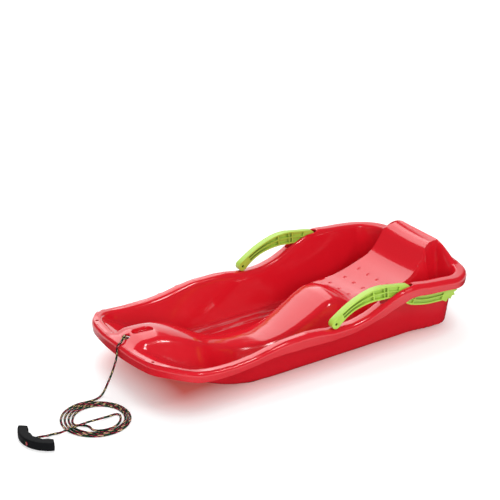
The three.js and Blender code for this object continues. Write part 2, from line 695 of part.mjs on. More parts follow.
// Strip of the lever between two stations. Each edge is a share of the way from the upper to the
// lower edge of the lever, moved down by a distance.
function leverStrip(from, to, upper, lower) {
  const count = Math.max(2, Math.round((to - from) * STATION_STEPS));
  const place = (station, [share, shift]) => {
    const top = leverTop.getPoint(station / lastStation);
    const under = leverUnder.getPoint(station / lastStation);
    return top.clone().lerp(under, share + shift / top.distanceTo(under));
  };
  const stations = Array.from(
    { length: count + 1 }, (_, k) => THREE.MathUtils.lerp(from, to, k / count));
  const upperEdge = stations.map((station) => place(station, upper));
  const lowerEdge = stations.map((station) => place(station, lower)).reverse();
  return new THREE.Shape([...upperEdge, ...lowerEdge]);
}
const WHOLE_TOP = [0, 0];
const WHOLE_UNDER = [1, 0];

// Plate cut to a shape in the lever's own plane, centred on its middle plane or on one side of it
function leverPlate(shape, near, far) {
  const plate = new THREE.ExtrudeGeometry(shape, {
    depth: far - near, bevelEnabled: false, curveSegments: 8 });
  plate.rotateX(Math.PI / 2);
  plate.rotateZ(Math.PI / 2);
  plate.translate(near, 0, 0);
  return toSolid(plate);
}
function disc(radius, u, v) {
  const shape = new THREE.Shape();
  shape.absarc(u, v, radius, 0, 2 * Math.PI);
  return shape;
}
function leverBody() {
  const blade = BLADE_WIDTH / 2;
  const grip = GRIP_WIDTH / 2;
  const boss = disc(BOSS_RADIUS, bossCentre.x, bossCentre.y);
  const claws = new THREE.Shape(fromShares(clawShares, BLADE_REACH, BLADE_DROP));
  return leverPlate(leverStrip(0, lastStation, WHOLE_TOP, WHOLE_UNDER), -blade, blade)
    .add(leverPlate(leverStrip(0, WIDE_STATIONS, WHOLE_TOP, WHOLE_UNDER), -grip, grip))
    .add(leverPlate(boss, -grip, grip))
    .add(leverPlate(disc(HUB_RADIUS, 0, 0), -blade, blade))
    .add(leverPlate(claws, -WEB_THICKNESS, WEB_THICKNESS));
}
// Two rows of pockets on both faces leave an upper, a middle and a lower flange on a thin web
function leverPockets() {
  const cells = [];
  for (const shares of [pocketShares, bladePocketShares]) {
    for (let k = 0; k + 1 < shares.length; k += 1) {
      const from = shares[k];
      const to = shares[k + 1] - RIB_STATIONS;
      cells.push(leverStrip(from, to, [0, FLANGE], [MIDDLE_RIB_SHARE, -CROSS_RIB / 2]));
      cells.push(leverStrip(from, to, [MIDDLE_RIB_SHARE, CROSS_RIB / 2], [1, -FLANGE]));
    }
  }
  return cells;
}
function brakeLever(name, side) {
  let lever = leverBody();
  const web = WEB_THICKNESS / 2;
  const edge = GRIP_WIDTH / 2 + CUT_OVERRUN;
  for (const cell of leverPockets()) {
    lever = lever.subtract(leverPlate(cell, web, edge)).subtract(leverPlate(cell, -edge, -web));
  }
  lever = lever
    .subtract(leverPlate(disc(BOSS_HOLE_RADIUS, bossCentre.x, bossCentre.y), -edge, edge))
    .subtract(leverPlate(disc(PIN_RADIUS + PIN_GAP, 0, 0), -edge, edge));
  const placed = lever.translate([LEVER_OFFSET, PIVOT_Y, PIVOT_Z]);
  return named(name, toGeometry(side > 0 ? placed : mirrored(placed)), LIME_PLASTIC);
}

function pivotPin(name, side) {
  const length = pinOuter - pinInner - 2 * PIN_GAP;
  const pin = new THREE.CylinderGeometry(PIN_RADIUS, PIN_RADIUS, length, PIN_SIDES);
  pin.rotateZ(Math.PI / 2);
  const mesh = named(name, pin, STEEL);
  mesh.position.set((side * (pinInner + pinOuter)) / 2, PIVOT_Y, PIVOT_Z);
  return mesh;
}

// Route of the rope from the knot under the deck, up through the tow hole, over the nose and
// down to the ground, where it meets the coil. Places are millimetres in the sled's frame.
const leadRoute = [
  [1.7, -418.1, 131.3], [4.9, -422.7, 133.8], [8.9, -428, 132.4], [12.6, -432.6, 128.9],
  [15.2, -437.8, 125.8], [16.3, -442.8, 123.2], [16.7, -446.6, 119.2], [16.5, -448.2, 114.2],
  [15.6, -448.2, 103.2], [14.6, -449.5, 90], [13.6, -453, 77], [12.8, -457, 65],
  [10.9, -463.6, 47.5], [8.3, -470.8, 29.7], [6.3, -477, 15.5], [5.8, -483.5, 6],
  [8.2, -491.5, 2.8], [11.8, -500, 2.8], [13.5, -508, 2.8],
];
// Route from the inner end of the coil, in a bight against the turns, around the inside of the
// coil, back across its middle and over the turns to the handle
const tailRoute = [
  [79, -597.8, 2.8], [88, -595.3, 2.8], [94.5, -587, 2.8], [102, -578.8, 2.8], [112, -575.2, 2.8],
  [123, -575.5, 2.8], [132, -571, 2.8], [138, -561.5, 2.8], [141, -549, 2.8], [141, -535, 2.8],
  [135.6, -520, 2.8], [126, -508.5, 2.8], [114.5, -500, 2.8], [104.5, -495.5, 2.8],
  [97, -497.5, 2.8], [94.2, -504.5, 2.8], [94.8, -514, 3.2], [96, -532, 4.6], [97.8, -552, 6.4],
  [99.3, -570, 8.4], [100.3, -583, 9], [101.3, -597, 9], [102.6, -611, 9], [103.6, -623, 8.9],
  [103.2, -632.5, 7.4], [99.6, -641, 4.6], [95, -649, 2.9], [92.8, -658, 2.8], [94, -668, 3.8],
  [96, -677.5, 6.4],
];
const toVectors = (route) => route.map((place) => new THREE.Vector3(...place));
const radians = THREE.MathUtils.degToRad;

// Turns of the coil from the outside inwards. Each turn's centre drifts, as where it is laid by
// hand, and both ends run straight for one rope diameter.
function coilPoints() {
  const points = [];
  const last = Math.round(COIL_TURNS * COIL_STEPS);
  for (let k = 0; k <= last; k += 1) {
    const turns = k / COIL_STEPS;
    const angle = radians(COIL_START_DEGREES) + 2 * Math.PI * turns;
    const radius = COIL_OUTER - COIL_PITCH * turns;
    points.push(new THREE.Vector3(
      COIL_CENTRE[0] + COIL_DRIFT[0] * turns + radius * Math.cos(angle),
      COIL_CENTRE[1] + COIL_DRIFT[1] * turns + radius * Math.sin(angle),
      ROPE_REST,
    ));
  }
  const before = onwards(points[1], points[0], ROPE_DIAMETER);
  return [before, ...points, onwards(points[last - 1], points[last], ROPE_DIAMETER)];
}
// Point that lies further along the line through two points
function onwards(from, to, distance) {
  return to.clone().add(to.clone().sub(from).setLength(distance));
}
function coilGap(points) {
  let least = Infinity;
  points.forEach((a, i) => points.slice(i + COIL_STEPS / 2).forEach((b) => {
    least = Math.min(least, a.distanceTo(b));
  }));
  return least - ROPE_DIAMETER;
}

// Round tube along a path, closed at both ends
function cordTube(path, sides, steps) {
  const section = new THREE.Shape();
  for (let k = 0; k < sides; k += 1) {
    const angle = (2 * Math.PI * (k + 1 / 2)) / sides;
    const place = [Math.cos(angle) * ROPE_DIAMETER / 2, Math.sin(angle) * ROPE_DIAMETER / 2];
    if (k === 0) section.moveTo(...place);
    else section.lineTo(...place);
  }
  section.closePath();
  return new THREE.ExtrudeGeometry(section, { steps, extrudePath: path, bevelEnabled: false });
}
function freeCord(name, points) {
  const path = new THREE.CatmullRomCurve3(points, false, 'centripetal');
  const steps = Math.min(ROPE_MOST_STEPS, Math.round(path.getLength() / ROPE_STEP));
  return named(name, cordTube(path, ROPE_SIDES, steps), BRAID);
}

// Tube with one ring of corners at each point of a flat route
function sweptTube(points, sides) {
  const up = new THREE.Vector3(0, 0, 1);
  const positions = [];
  points.forEach((point, i) => {
    const ahead = points[Math.min(i + 1, points.length - 1)];
    const behind = points[Math.max(i - 1, 0)];
    const across = ahead.clone().sub(behind).normalize().cross(up);
    for (let k = 0; k < sides; k += 1) {
      const angle = (2 * Math.PI * (k + 1 / 2)) / sides;
      const corner = point.clone()
        .addScaledVector(across, Math.cos(angle) * ROPE_DIAMETER / 2)
        .addScaledVector(up, Math.sin(angle) * ROPE_DIAMETER / 2);
      positions.push(...corner.toArray());
    }
  });
  const indices = [];
  for (let i = 0; i + 1 < points.length; i += 1) {
    for (let k = 0; k < sides; k += 1) {
      const a = i * sides + k;
      const b = i * sides + ((k + 1) % sides);
      indices.push(a, b + sides, b, a, a + sides, b + sides);
    }
  }
  const end = (points.length - 1) * sides;
  for (let k = 1; k + 1 < sides; k += 1) {
    indices.push(0, k, k + 1, end, end + k + 1, end + k);
  }
  const tube = new THREE.BufferGeometry();
  tube.setAttribute('position', new THREE.Float32BufferAttribute(positions, 3));
  tube.setIndex(indices);
  tube.computeVertexNormals();
  return tube;
}

// Stopper knot: a barrel with a waist whose axis lies along the rope
function knot(name, size, centre, along) {
  const barrel = new THREE.SphereGeometry(1, KNOT_SIDES, KNOT_RINGS);
  const places = barrel.attributes.position;
  for (let i = 0; i < places.count; i += 1) {
    const height = places.getY(i);
    const round = Math.sqrt(Math.max(0, 1 - height ** 2));
    const full = Math.sqrt(round) * (1 - KNOT_WAIST_SHARE * (1 - height ** 2) ** 4);
    const widen = round > 0 ? (full / round) * size.radius : 0;
    places.setXYZ(i, places.getX(i) * widen, (height * size.length) / 2, places.getZ(i) * widen);
  }
  barrel.applyQuaternion(new THREE.Quaternion().setFromUnitVectors(new THREE.Vector3(0, 1, 0), along));
  barrel.translate(...centre);
  return named(name, toGeometry(toSolid(barrel)), BRAID);
}

// Handle: an arched bar, drawn about the middle of its arch and then turned into place
const handleAxis = () => new THREE.Vector3(
  Math.sin(radians(HANDLE_TURN_DEGREES)), -Math.cos(radians(HANDLE_TURN_DEGREES)), 0);
const alongHandleAxis = (radius) => new THREE.Vector3(...HANDLE_CENTRE, HANDLE_THICK / 2)
  .addScaledVector(handleAxis(), radius);
const pocketFloor = HANDLE_ARC + HANDLE_BULK / 2 - HANDLE_POCKET_DEPTH;

function handleOutline() {
  const half = radians(HANDLE_SWEEP_DEGREES) / 2;
  const bare = HANDLE_BULK / 2 - HANDLE_ROUND;
  const outline = new THREE.Shape();
  const down = -Math.PI / 2;
  outline.absarc(0, 0, HANDLE_ARC + bare, down - half, down + half);
  const end = (turn) => [HANDLE_ARC * Math.sin(turn), -HANDLE_ARC * Math.cos(turn)];
  outline.absarc(...end(half), bare, down + half, down + half + Math.PI - HANDLE_ROUND / HANDLE_ARC);
  for (let k = 0; k <= HANDLE_STEPS; k += 1) {
    const turn = THREE.MathUtils.lerp(half, -half, k / HANDLE_STEPS);
    const scallop = SCALLOP_DEPTH * Math.cos((2 * Math.PI * SCALLOPS * k) / HANDLE_STEPS);
    const radius = HANDLE_ARC - bare - SCALLOP_DEPTH + scallop;
    outline.lineTo(radius * Math.sin(turn), -radius * Math.cos(turn));
  }
  outline.absarc(...end(-half), bare, down - half - Math.PI + HANDLE_ROUND / HANDLE_ARC, down - half);
  return outline;
}
function towHandle() {
  const bar = new THREE.ExtrudeGeometry(handleOutline(), {
    depth: HANDLE_THICK - 2 * HANDLE_ROUND, bevelThickness: HANDLE_ROUND, bevelSize: HANDLE_ROUND,
    bevelSegments: 2, curveSegments: 14 });
  bar.translate(0, 0, HANDLE_ROUND);
  const bore = new THREE.CylinderGeometry(HANDLE_BORE, HANDLE_BORE, 2 * HANDLE_BULK, PIN_SIDES);
  bore.translate(0, -HANDLE_ARC, 0);
  const pocket = new THREE.CylinderGeometry(HANDLE_POCKET, HANDLE_POCKET, HANDLE_BULK, PIN_SIDES);
  pocket.translate(0, -pocketFloor - HANDLE_BULK / 2, 0);
  let body = toSolid(bar);
  for (const cut of [bore, pocket]) {
    cut.translate(0, 0, HANDLE_THICK / 2);
    body = body.subtract(toSolid(cut));
  }
  const handle = toGeometry(body);
  handle.rotateZ(radians(HANDLE_TURN_DEGREES));
  handle.translate(...HANDLE_CENTRE, 0);
  return named('tow_handle', handle, BLACK_PLASTIC);
}

function towRope() {
  const turns = coilPoints();
  console.log('least gap of the coil to itself, mm:', coilGap(turns).toFixed(2));
  const up = new THREE.Vector3(0, 0, 1);
  const underHole = new THREE.Vector3(0, NOSE_Y + TOW_HOLE_INSET, knotTop);
  const deckKnot = underHole.clone().setZ(knotTop - DECK_KNOT.length / 2);
  const last = turns.length - 1;
  const coilIn = onwards(turns[1], turns[0], PIECE_GAP);
  const coilOut = onwards(turns[last - 1], turns[last], PIECE_GAP);
  const lead = [
    underHole.clone().setZ(knotTop + PIECE_GAP),
    underHole.clone().setZ(knotTop + ROPE_DIAMETER / 3),
    ...toVectors(leadRoute),
    onwards(turns[1], turns[0], ROPE_DIAMETER),
    coilIn,
  ];
  const tail = [
    coilOut,
    onwards(turns[last - 1], turns[last], ROPE_DIAMETER),
    ...toVectors(tailRoute),
    alongHandleAxis(HANDLE_ARC - HANDLE_BULK),
    alongHandleAxis(HANDLE_ARC - HANDLE_BULK / 2),
    alongHandleAxis(pocketFloor),
  ];
  const knotMiddle = alongHandleAxis(pocketFloor + PIECE_GAP + HANDLE_KNOT.length / 2);
  return [
    knot('tow_rope_deck_knot', DECK_KNOT, deckKnot, up),
    freeCord('tow_rope_lead', lead),
    named('tow_rope_coil', sweptTube(turns, COIL_SIDES), BRAID),
    freeCord('tow_rope_tail', tail),
    knot('tow_rope_handle_knot', HANDLE_KNOT, knotMiddle, handleAxis()),
    towHandle(),
  ];
}
const knotTop = surface(0, NOSE_Y + TOW_HOLE_INSET - DECK_KNOT.radius)
  - WALL - PIECE_GAP + DECK_KNOT_RISE;

const sled = new THREE.Group();
sled.add(named('hull', toGeometry(hull()), RED_PLASTIC));
for (const [word, side] of [['left', 1], ['right', -1]]) {
  sled.add(brakeLever(`brake_lever_${word}`, side));
  sled.add(pivotPin(`pivot_pin_${word}`, side));
}
sled.add(...towRope());
export default sled;
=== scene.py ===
"""Moulded bob sled: fine hull, brake levers, braided tow rope, handle, finishes and studio."""

import logging
import math
from collections.abc import Callable
from dataclasses import dataclass, field
from enum import Enum
from functools import partial
from itertools import product

import bpy
import numpy as np
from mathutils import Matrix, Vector


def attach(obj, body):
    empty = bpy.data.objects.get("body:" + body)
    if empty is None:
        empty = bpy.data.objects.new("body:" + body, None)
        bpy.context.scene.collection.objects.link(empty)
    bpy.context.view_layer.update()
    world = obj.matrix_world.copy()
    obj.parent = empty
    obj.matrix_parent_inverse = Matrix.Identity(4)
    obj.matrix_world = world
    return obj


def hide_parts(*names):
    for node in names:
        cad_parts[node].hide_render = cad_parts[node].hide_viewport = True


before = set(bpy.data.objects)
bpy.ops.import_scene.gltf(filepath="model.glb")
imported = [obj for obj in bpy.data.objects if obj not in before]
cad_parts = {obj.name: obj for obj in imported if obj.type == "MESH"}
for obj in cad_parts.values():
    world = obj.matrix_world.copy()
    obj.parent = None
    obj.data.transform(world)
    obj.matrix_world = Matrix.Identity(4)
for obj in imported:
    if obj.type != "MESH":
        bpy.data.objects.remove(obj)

LOG = logging.getLogger("bob_sled")
MM = 0.001
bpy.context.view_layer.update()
MERGE_REACH = 1e-6
BAR_SIDES = 40
UNIT = (0.0, 1.0)

Colour = tuple[float, float, float]
Faces = list[tuple[int, ...]]
Pair = tuple[float, float]
Place = tuple[float, float, float]
Shares = tuple[Pair, ...]
Piece = bpy.types.Object
Socket = bpy.types.NodeSocket


class Side(Enum):
    """Side of the sled, as the sign of X."""

    LEFT = 1
    RIGHT = -1

    @property
    def word(self) -> str:
        """Give the side's name as node names have it."""
        return self.name.lower()


class Turn(Enum):
    """Rotation that lays an upright bar along an axis."""

    UPRIGHT = (0, 0, 0)
    ALONG_X = (0, math.pi / 2, 0)


# Helpers for meshes


def deselect() -> None:
    """Leave nothing selected, so that an operator acts on new pieces alone."""
    bpy.ops.object.select_all(action="DESELECT")


def activate(piece: Piece) -> None:
    """Select one piece alone and make it active.

    Args:
        piece: The piece.
    """
    deselect()
    piece.select_set(True)
    bpy.context.view_layer.objects.active = piece


def mesh_piece(name: str, points: np.ndarray, faces: Faces) -> Piece:
    """Make an object from points in millimetres and faces.

    Args:
        name: Name of the piece.
        points: Rows of x, y and z in millimetres.
        faces: Corner numbers of each face.

    Returns:
        The new object, at the origin.
    """
    mesh = bpy.data.meshes.new(name)
    mesh.from_pydata((points * MM).tolist(), [], faces)
    mesh.update()
    piece = bpy.data.objects.new(name, mesh)
    bpy.context.collection.objects.link(piece)
    activate(piece)
    return piece


def band_faces(rings: int, around: int, flipped: bool = False) -> Faces:
    """Give the quads between closed rings of points that follow each other.

    Args:
        rings: Number of rings.
        around: Number of points in each.
        flipped: Whether the quads face the other way.

    Returns:
        Corner numbers, which face upwards where rings run anticlockwise from the outermost inwards.
    """
    faces = []
    for start in range(0, (rings - 1) * around, around):
        for i in range(around):
            j = (i + 1) % around
            quad = (start + i, start + j, start + around + j, start + around + i)
            faces.append((quad[0], *quad[:0:-1]) if flipped else quad)
    return faces


def tube_faces(rings: int, around: int) -> Faces:
    """Give the outward quads and ends of a tube, whose rings run anticlockwise seen along its way.

    Args:
        rings: Number of rings.
        around: Number of points in each.

    Returns:
        Corner numbers, with the ends last.
    """
    ends = [tuple(range(around)), tuple(rings * around - 1 - k for k in range(around))]
    return band_faces(rings, around, flipped=True) + ends


def settle(piece: Piece, name: str | None = None) -> Piece:
    """Put a piece's place into its mesh, so that its object sits at the origin.

    Args:
        piece: The piece to settle.
        name: Its new name, or none to keep the old one.

    Returns:
        The same piece.
    """
    activate(piece)
    bpy.ops.object.transform_apply(location=True, rotation=True, scale=True)
    if name:
        piece.name = name
        piece.data.name = name
    return piece


def apply_modifier(piece: Piece, kind: str, **settings: object) -> None:
    """Add a modifier to a piece and apply it.

    Args:
        piece: The piece to change.
        kind: Blender's name of the modifier.
        **settings: The modifier's own properties.
    """
    activate(piece)
    modifier = piece.modifiers.new(kind.lower(), kind)
    for key, value in settings.items():
        setattr(modifier, key, value)
    bpy.ops.object.modifier_apply(modifier=modifier.name)


def reshape(piece: Piece, *steps: Callable[[], object]) -> None:
    """Run mesh operators in edit mode, with everything in a piece selected at first.

    Args:
        piece: The piece to change.
        *steps: The operators, with their settings.
    """
    activate(piece)
    bpy.ops.object.mode_set(mode="EDIT")
    bpy.ops.mesh.select_all(action="SELECT")
    for step in steps:
        step()
    bpy.ops.object.mode_set(mode="OBJECT")


def merging(reach: float = MERGE_REACH) -> Callable[[], object]:
    """Give the edit step that merges points within a reach in metres."""
    return partial(bpy.ops.mesh.remove_doubles, threshold=reach)


def face_outwards() -> None:
    """Turn every face outwards, as an edit step."""
    bpy.ops.mesh.normals_make_consistent(inside=False)


def combine(piece: Piece, tools: list[Piece], operation: str) -> None:
    """Cut tools from a piece, or add them to it, and remove them.

    Args:
        piece: The piece to work on.
        tools: Closed meshes that don't touch each other.
        operation: DIFFERENCE or UNION.
    """
    deselect()
    for tool in tools:
        tool.select_set(True)
    bpy.context.view_layer.objects.active = tools[0]
    if len(tools) > 1:
        bpy.ops.object.join()
    joined = bpy.context.view_layer.objects.active
    apply_modifier(piece, "BOOLEAN", operation=operation, solver="MANIFOLD", object=joined)
    bpy.data.objects.remove(joined)


def smooth(piece: Piece, degrees: float) -> None:
    """Shade a piece smooth, apart from edges sharper than an angle."""
    activate(piece)
    bpy.ops.object.shade_smooth_by_angle(angle=math.radians(degrees))


def paint(piece: Piece, material: bpy.types.Material) -> None:
    """Give a piece one finish in place of any that it has."""
    piece.data.materials.clear()
    piece.data.materials.append(material)


def round_bar(radius: float, length: float, centre: Place, turn: Place = Turn.UPRIGHT.value,
              sides: int = BAR_SIDES) -> Piece:
    """Add a round bar, in millimetres.

    Args:
        radius: Radius of the bar.
        length: Length along its axis.
        centre: Its middle.
        turn: Rotation from upright, in radians.
        sides: Number of flats round it.

    Returns:
        The new bar.
    """
    deselect()
    bpy.ops.mesh.primitive_cylinder_add(
        vertices=sides, radius=radius * MM, depth=length * MM,
        location=[value * MM for value in centre], rotation=turn)
    return settle(bpy.context.object)


def upright_slot(width: float, ends: Pair, heights: Pair, x: float) -> Piece:
    """Add an upright bar with round ends along Y, in millimetres.

    Args:
        width: Width along X.
        ends: Y of the front and the rear end.
        heights: Z of the lower and the upper face.
        x: X of the middle.

    Returns:
        The new bar.
    """
    half = width / 2
    front, rear = ends
    bar = round_bar(half, heights[1] - heights[0], (x, front + half, sum(heights) / 2))
    for vertex in bar.data.vertices:
        if vertex.co.y > (front + half) * MM + MERGE_REACH:
            vertex.co.y += (rear - front - width) * MM
    return bar


# Finishes


class Nodes:
    """Short way to write the node tree of a material or the world."""

    def __init__(self, owner: bpy.types.Material | bpy.types.World) -> None:
        """Start from an empty tree that has an output.

        Args:
            owner: The material or world that holds the tree.
        """
        owner.use_nodes = True
        kind = "World" if isinstance(owner, bpy.types.World) else "Material"
        self.tree = owner.node_tree
        self.tree.nodes.clear()
        self.output = self.tree.nodes.new("ShaderNodeOutput" + kind)

    def feed(self, socket: Socket, value: object) -> None:
        """Fill a socket with a value, or link another node's output to it.

        Args:
            socket: The input.
            value: A number, a tuple or an output.
        """
        if isinstance(value, Socket):
            self.tree.links.new(value, socket)
        else:
            socket.default_value = value

    def add(self, kind: str, settings: dict[str, object] | None = None, **inputs: object) -> bpy.types.Node:
        """Add a node and fill its sockets.

        Args:
            kind: Blender's name of the node, without its ShaderNode prefix.
            settings: The node's own properties.
            **inputs: Values or sockets, by the input's name with _ for a space.

        Returns:
            The new node.
        """
        node = self.tree.nodes.new("ShaderNode" + kind)
        for key, value in (settings or {}).items():
            setattr(node, key, value)
        for key, value in inputs.items():
            self.feed(node.inputs[key.replace("_", " ")], value)
        return node

    def work(self, kind: str, operation: str, values: tuple[object, ...]) -> bpy.types.Node:
        """Add a node that does sums on its inputs in order.

        Args:
            kind: Math or VectorMath.
            operation: Name of the sum.
            values: Numbers, vectors or sockets.

        Returns:
            The new node.
        """
        node = self.add(kind, {"operation": operation})
        for socket, value in zip(node.inputs, values):
            self.feed(socket, value)
        return node

    def math(self, operation: str, *values: object) -> Socket:
        """Give the result of a sum of numbers."""
        return self.work("Math", operation, values).outputs[0]

    def vector(self, operation: str, *values: object) -> Socket:
        """Give the vector that a sum of vectors makes."""
        return self.work("VectorMath", operation, values).outputs["Vector"]

    def measure(self, operation: str, *values: object) -> Socket:
        """Give the number that a sum of vectors makes."""
        return self.work("VectorMath", operation, values).outputs["Value"]

    def place(self, scale: Place = (1, 1, 1)) -> Socket:
        """Give object coordinates, stretched by a scale."""
        spot = self.add("TexCoord").outputs["Object"]
        return self.add("Mapping", Vector=spot, Scale=scale).outputs["Vector"]

    def noise(self, scale: float, detail: float = 3.0, stretch: Place = (1, 1, 1)) -> Socket:
        """Give noise from 0 to 1, with a number of grains per metre."""
        spot = self.place(stretch)
        return self.add("TexNoise", Vector=spot, Scale=scale, Detail=detail).outputs["Fac"]

    def ramp(self, value: Socket, span: Pair, to: Pair = UNIT) -> Socket:
        """Map one range of a value to another, clamped."""
        limits = {"From_Min": span[0], "From_Max": span[1], "To_Min": to[0], "To_Max": to[1]}
        return self.add("MapRange", Value=value, **limits).outputs["Result"]

    def blend(self, factor: Socket, first: Socket | Colour, second: Socket | Colour) -> Socket:
        """Mix two colours.

        Args:
            factor: Share of the second one.
            first: A colour or an output.
            second: A colour or an output.

        Returns:
            The mixed colour.
        """
        node = self.add("MixRGB", Fac=factor)
        for key, value in (("Color1", first), ("Color2", second)):
            self.feed(node.inputs[key], value if isinstance(value, Socket) else (*value, 1))
        return node.outputs["Color"]

    def bump(self, height: Socket, strength: float, distance: float, **under: Socket) -> Socket:
        """Give a normal that follows a height, with its depth in metres."""
        node = self.add("Bump", Height=height, Strength=strength, Distance=distance, **under)
        return node.outputs["Normal"]

    def finish(self, shader: bpy.types.Node) -> None:
        """Join a shader to the output."""
        self.tree.links.new(shader.outputs[0], self.output.inputs["Surface"])


@dataclass(frozen=True)
class MouldedPlastic:
    """Injection-moulded plastic with a faint ripple, fine scratches and scuffed low places, and painted shade
    that can darken its recesses.

    Scales are in grains per metre, reaches and depths in metres. A span is the part of a noise that shows.
    """

    name: str
    colour: Colour
    pale: Colour
    gloss: float
    scratched: float
    ripple: float
    grain: float
    coat: float
    scuff_height: float
    shine: float = 0.5
    painted_recess_shade: float = 0.0
    recess_reach: float = 0.009
    recess_span: Pair = (0.15, 0.75)
    painted_recess_dark: float = 0.06
    cloud_scale: float = 7.0
    cloud_span: Pair = (0.3, 0.7)
    cloud_most: float = 0.22
    scratch_scale: float = 260.0
    scratch_detail: float = 6.0
    scratch_stretch: Place = (0.6, 0.09, 0.6)
    scratch_span: Pair = (0.55, 0.78)
    scuff_scale: float = 95.0
    scuff_detail: float = 8.0
    scuff_stretch: Place = (1.0, 0.16, 1.0)
    scuff_span: Pair = (0.42, 0.62)
    scuff_roughness: float = 0.35
    dust: Pair = (0.5, 0.3)
    ripple_scale: float = 70.0
    ripple_depth: float = 0.0006
    grain_scale: float = 1500.0
    grain_depth: float = 0.0001
    fine_detail: float = 2.0
    refraction: float = 1.52
    coat_roughness: float = 0.06

    def material(self) -> bpy.types.Material:
        """Build the material.

        Returns:
            The material with its nodes.
        """
        made = bpy.data.materials.new(self.name)
        nodes = Nodes(made)
        cloud = nodes.ramp(nodes.noise(self.cloud_scale), self.cloud_span, (0.0, self.cloud_most))
        body = nodes.blend(cloud, self.colour, self.pale)
        if self.painted_recess_shade:
            # Painted shade: ambient occlusion darkens the base colour in pockets and recesses.
            recess = nodes.add("AmbientOcclusion", {"only_local": True}, Distance=self.recess_reach)
            depth = nodes.ramp(recess.outputs["AO"], self.recess_span, (self.painted_recess_shade, 0.0))
            body = nodes.blend(depth, body, tuple(self.painted_recess_dark * value for value in self.colour))
        scratches = nodes.noise(self.scratch_scale, self.scratch_detail, self.scratch_stretch)
        height = nodes.add("SeparateXYZ", Vector=nodes.place()).outputs["Z"]
        low = nodes.ramp(height, (0.0, self.scuff_height), (1.0, 0.0))
        scuffs = nodes.noise(self.scuff_scale, self.scuff_detail, self.scuff_stretch)
        scuffed = nodes.math("MULTIPLY", low, nodes.ramp(scuffs, self.scuff_span))
        dusty = nodes.blend(scuffed, body, tuple(self.dust[0] * value + self.dust[1] for value in self.pale))
        worn = nodes.ramp(scratches, self.scratch_span)
        rough = nodes.math("MULTIPLY_ADD", worn, self.scratched, self.gloss)
        waves = nodes.bump(nodes.noise(self.ripple_scale, self.fine_detail), self.ripple, self.ripple_depth)
        fine = nodes.noise(self.grain_scale, self.fine_detail)
        nodes.finish(nodes.add(
            "BsdfPrincipled", Base_Color=dusty,
            Roughness=nodes.math("MULTIPLY_ADD", scuffed, self.scuff_roughness, rough),
            Normal=nodes.bump(fine, self.grain, self.grain_depth, Normal=waves),
            IOR=self.refraction, Coat_Weight=self.coat, Coat_Roughness=self.coat_roughness,
            Specular_IOR_Level=self.shine))
        return made


@dataclass(frozen=True)
class TurnedSteel:
    """Zinc-plated turned steel with rings round its axis, which lies along X."""

    name: str = "turned_steel"
    colour: Colour = (0.56, 0.57, 0.58)
    ring_colour: Colour = (0.42, 0.43, 0.45)
    ring_scale: float = 900.0
    ring_stretch: Place = (1.0, 0.05, 0.05)
    ring_span: Pair = (0.3, 0.7)
    roughness: Pair = (0.22, 0.4)
    ring_strength: float = 0.2
    ring_depth: float = 0.0001

    def material(self) -> bpy.types.Material:
        """Build the material.

        Returns:
            The material with its nodes.
        """
        made = bpy.data.materials.new(self.name)
        nodes = Nodes(made)
        rings = nodes.noise(self.ring_scale, stretch=self.ring_stretch)
        nodes.finish(nodes.add(
            "BsdfPrincipled", Metallic=1.0,
            Base_Color=nodes.blend(nodes.ramp(rings, self.ring_span), self.colour, self.ring_colour),
            Roughness=nodes.ramp(rings, self.ring_span, self.roughness),
            Normal=nodes.bump(rings, self.ring_strength, self.ring_depth)))
        return made


@dataclass(frozen=True)
class BraidedCord:
    """Braided filament cord, whose strands carry their own colours in an attribute."""

    name: str = "braided_cord"
    attribute: str = "strand"
    fibre_scale: float = 2600.0
    fibre_detail: float = 4.0
    tone_share: float = 0.55
    tone_span: Pair = (0.3, 0.7)
    tone: Pair = (0.45, 1.0)
    rough_span: Pair = (0.2, 0.8)
    roughness: Pair = (0.55, 0.8)
    sheen: float = 0.03
    sheen_roughness: float = 0.4
    shine: float = 0.2
    fibre_strength: float = 0.4
    fibre_depth: float = 0.0002

    def material(self) -> bpy.types.Material:
        """Build the material.

        Returns:
            The material with its nodes.
        """
        made = bpy.data.materials.new(self.name)
        nodes = Nodes(made)
        strand = nodes.add("Attribute", {"attribute_name": self.attribute}).outputs["Color"]
        fibres = nodes.noise(self.fibre_scale, self.fibre_detail)
        shade = nodes.add("MixRGB", {"blend_type": "MULTIPLY"}, Fac=self.tone_share, Color1=strand,
                          Color2=nodes.ramp(fibres, self.tone_span, self.tone))
        nodes.finish(nodes.add(
            "BsdfPrincipled", Base_Color=shade.outputs[0],
            Roughness=nodes.ramp(fibres, self.rough_span, self.roughness), Sheen_Weight=self.sheen,
            Sheen_Roughness=self.sheen_roughness, Specular_IOR_Level=self.shine,
            Normal=nodes.bump(fibres, self.fibre_strength, self.fibre_depth)))
        return made


HULL_RED = MouldedPlastic(
    name="hull_red_plastic", colour=(0.69, 0.009, 0.02), pale=(0.75, 0.015, 0.03), gloss=0.13,
    scratched=0.12, ripple=0.05, grain=0.02, coat=0.35, scuff_height=0.006)
# The lime levers carry painted shade in their pockets.
LEVER_LIME = MouldedPlastic(
    name="lever_lime_plastic", colour=(0.44, 0.68, 0.075), pale=(0.5, 0.72, 0.1), gloss=0.34,
    scratched=0.1, ripple=0.08, grain=0.12, coat=0.05, scuff_height=0.001, painted_recess_shade=0.85)
HANDLE_BLACK = MouldedPlastic(
    name="handle_black_plastic", colour=(0.008, 0.0082, 0.0095), pale=(0.014, 0.0145, 0.016), gloss=0.5,
    scratched=0.15, ripple=0.1, grain=0.35, coat=0.0, scuff_height=0.001, shine=0.04)


# Hull


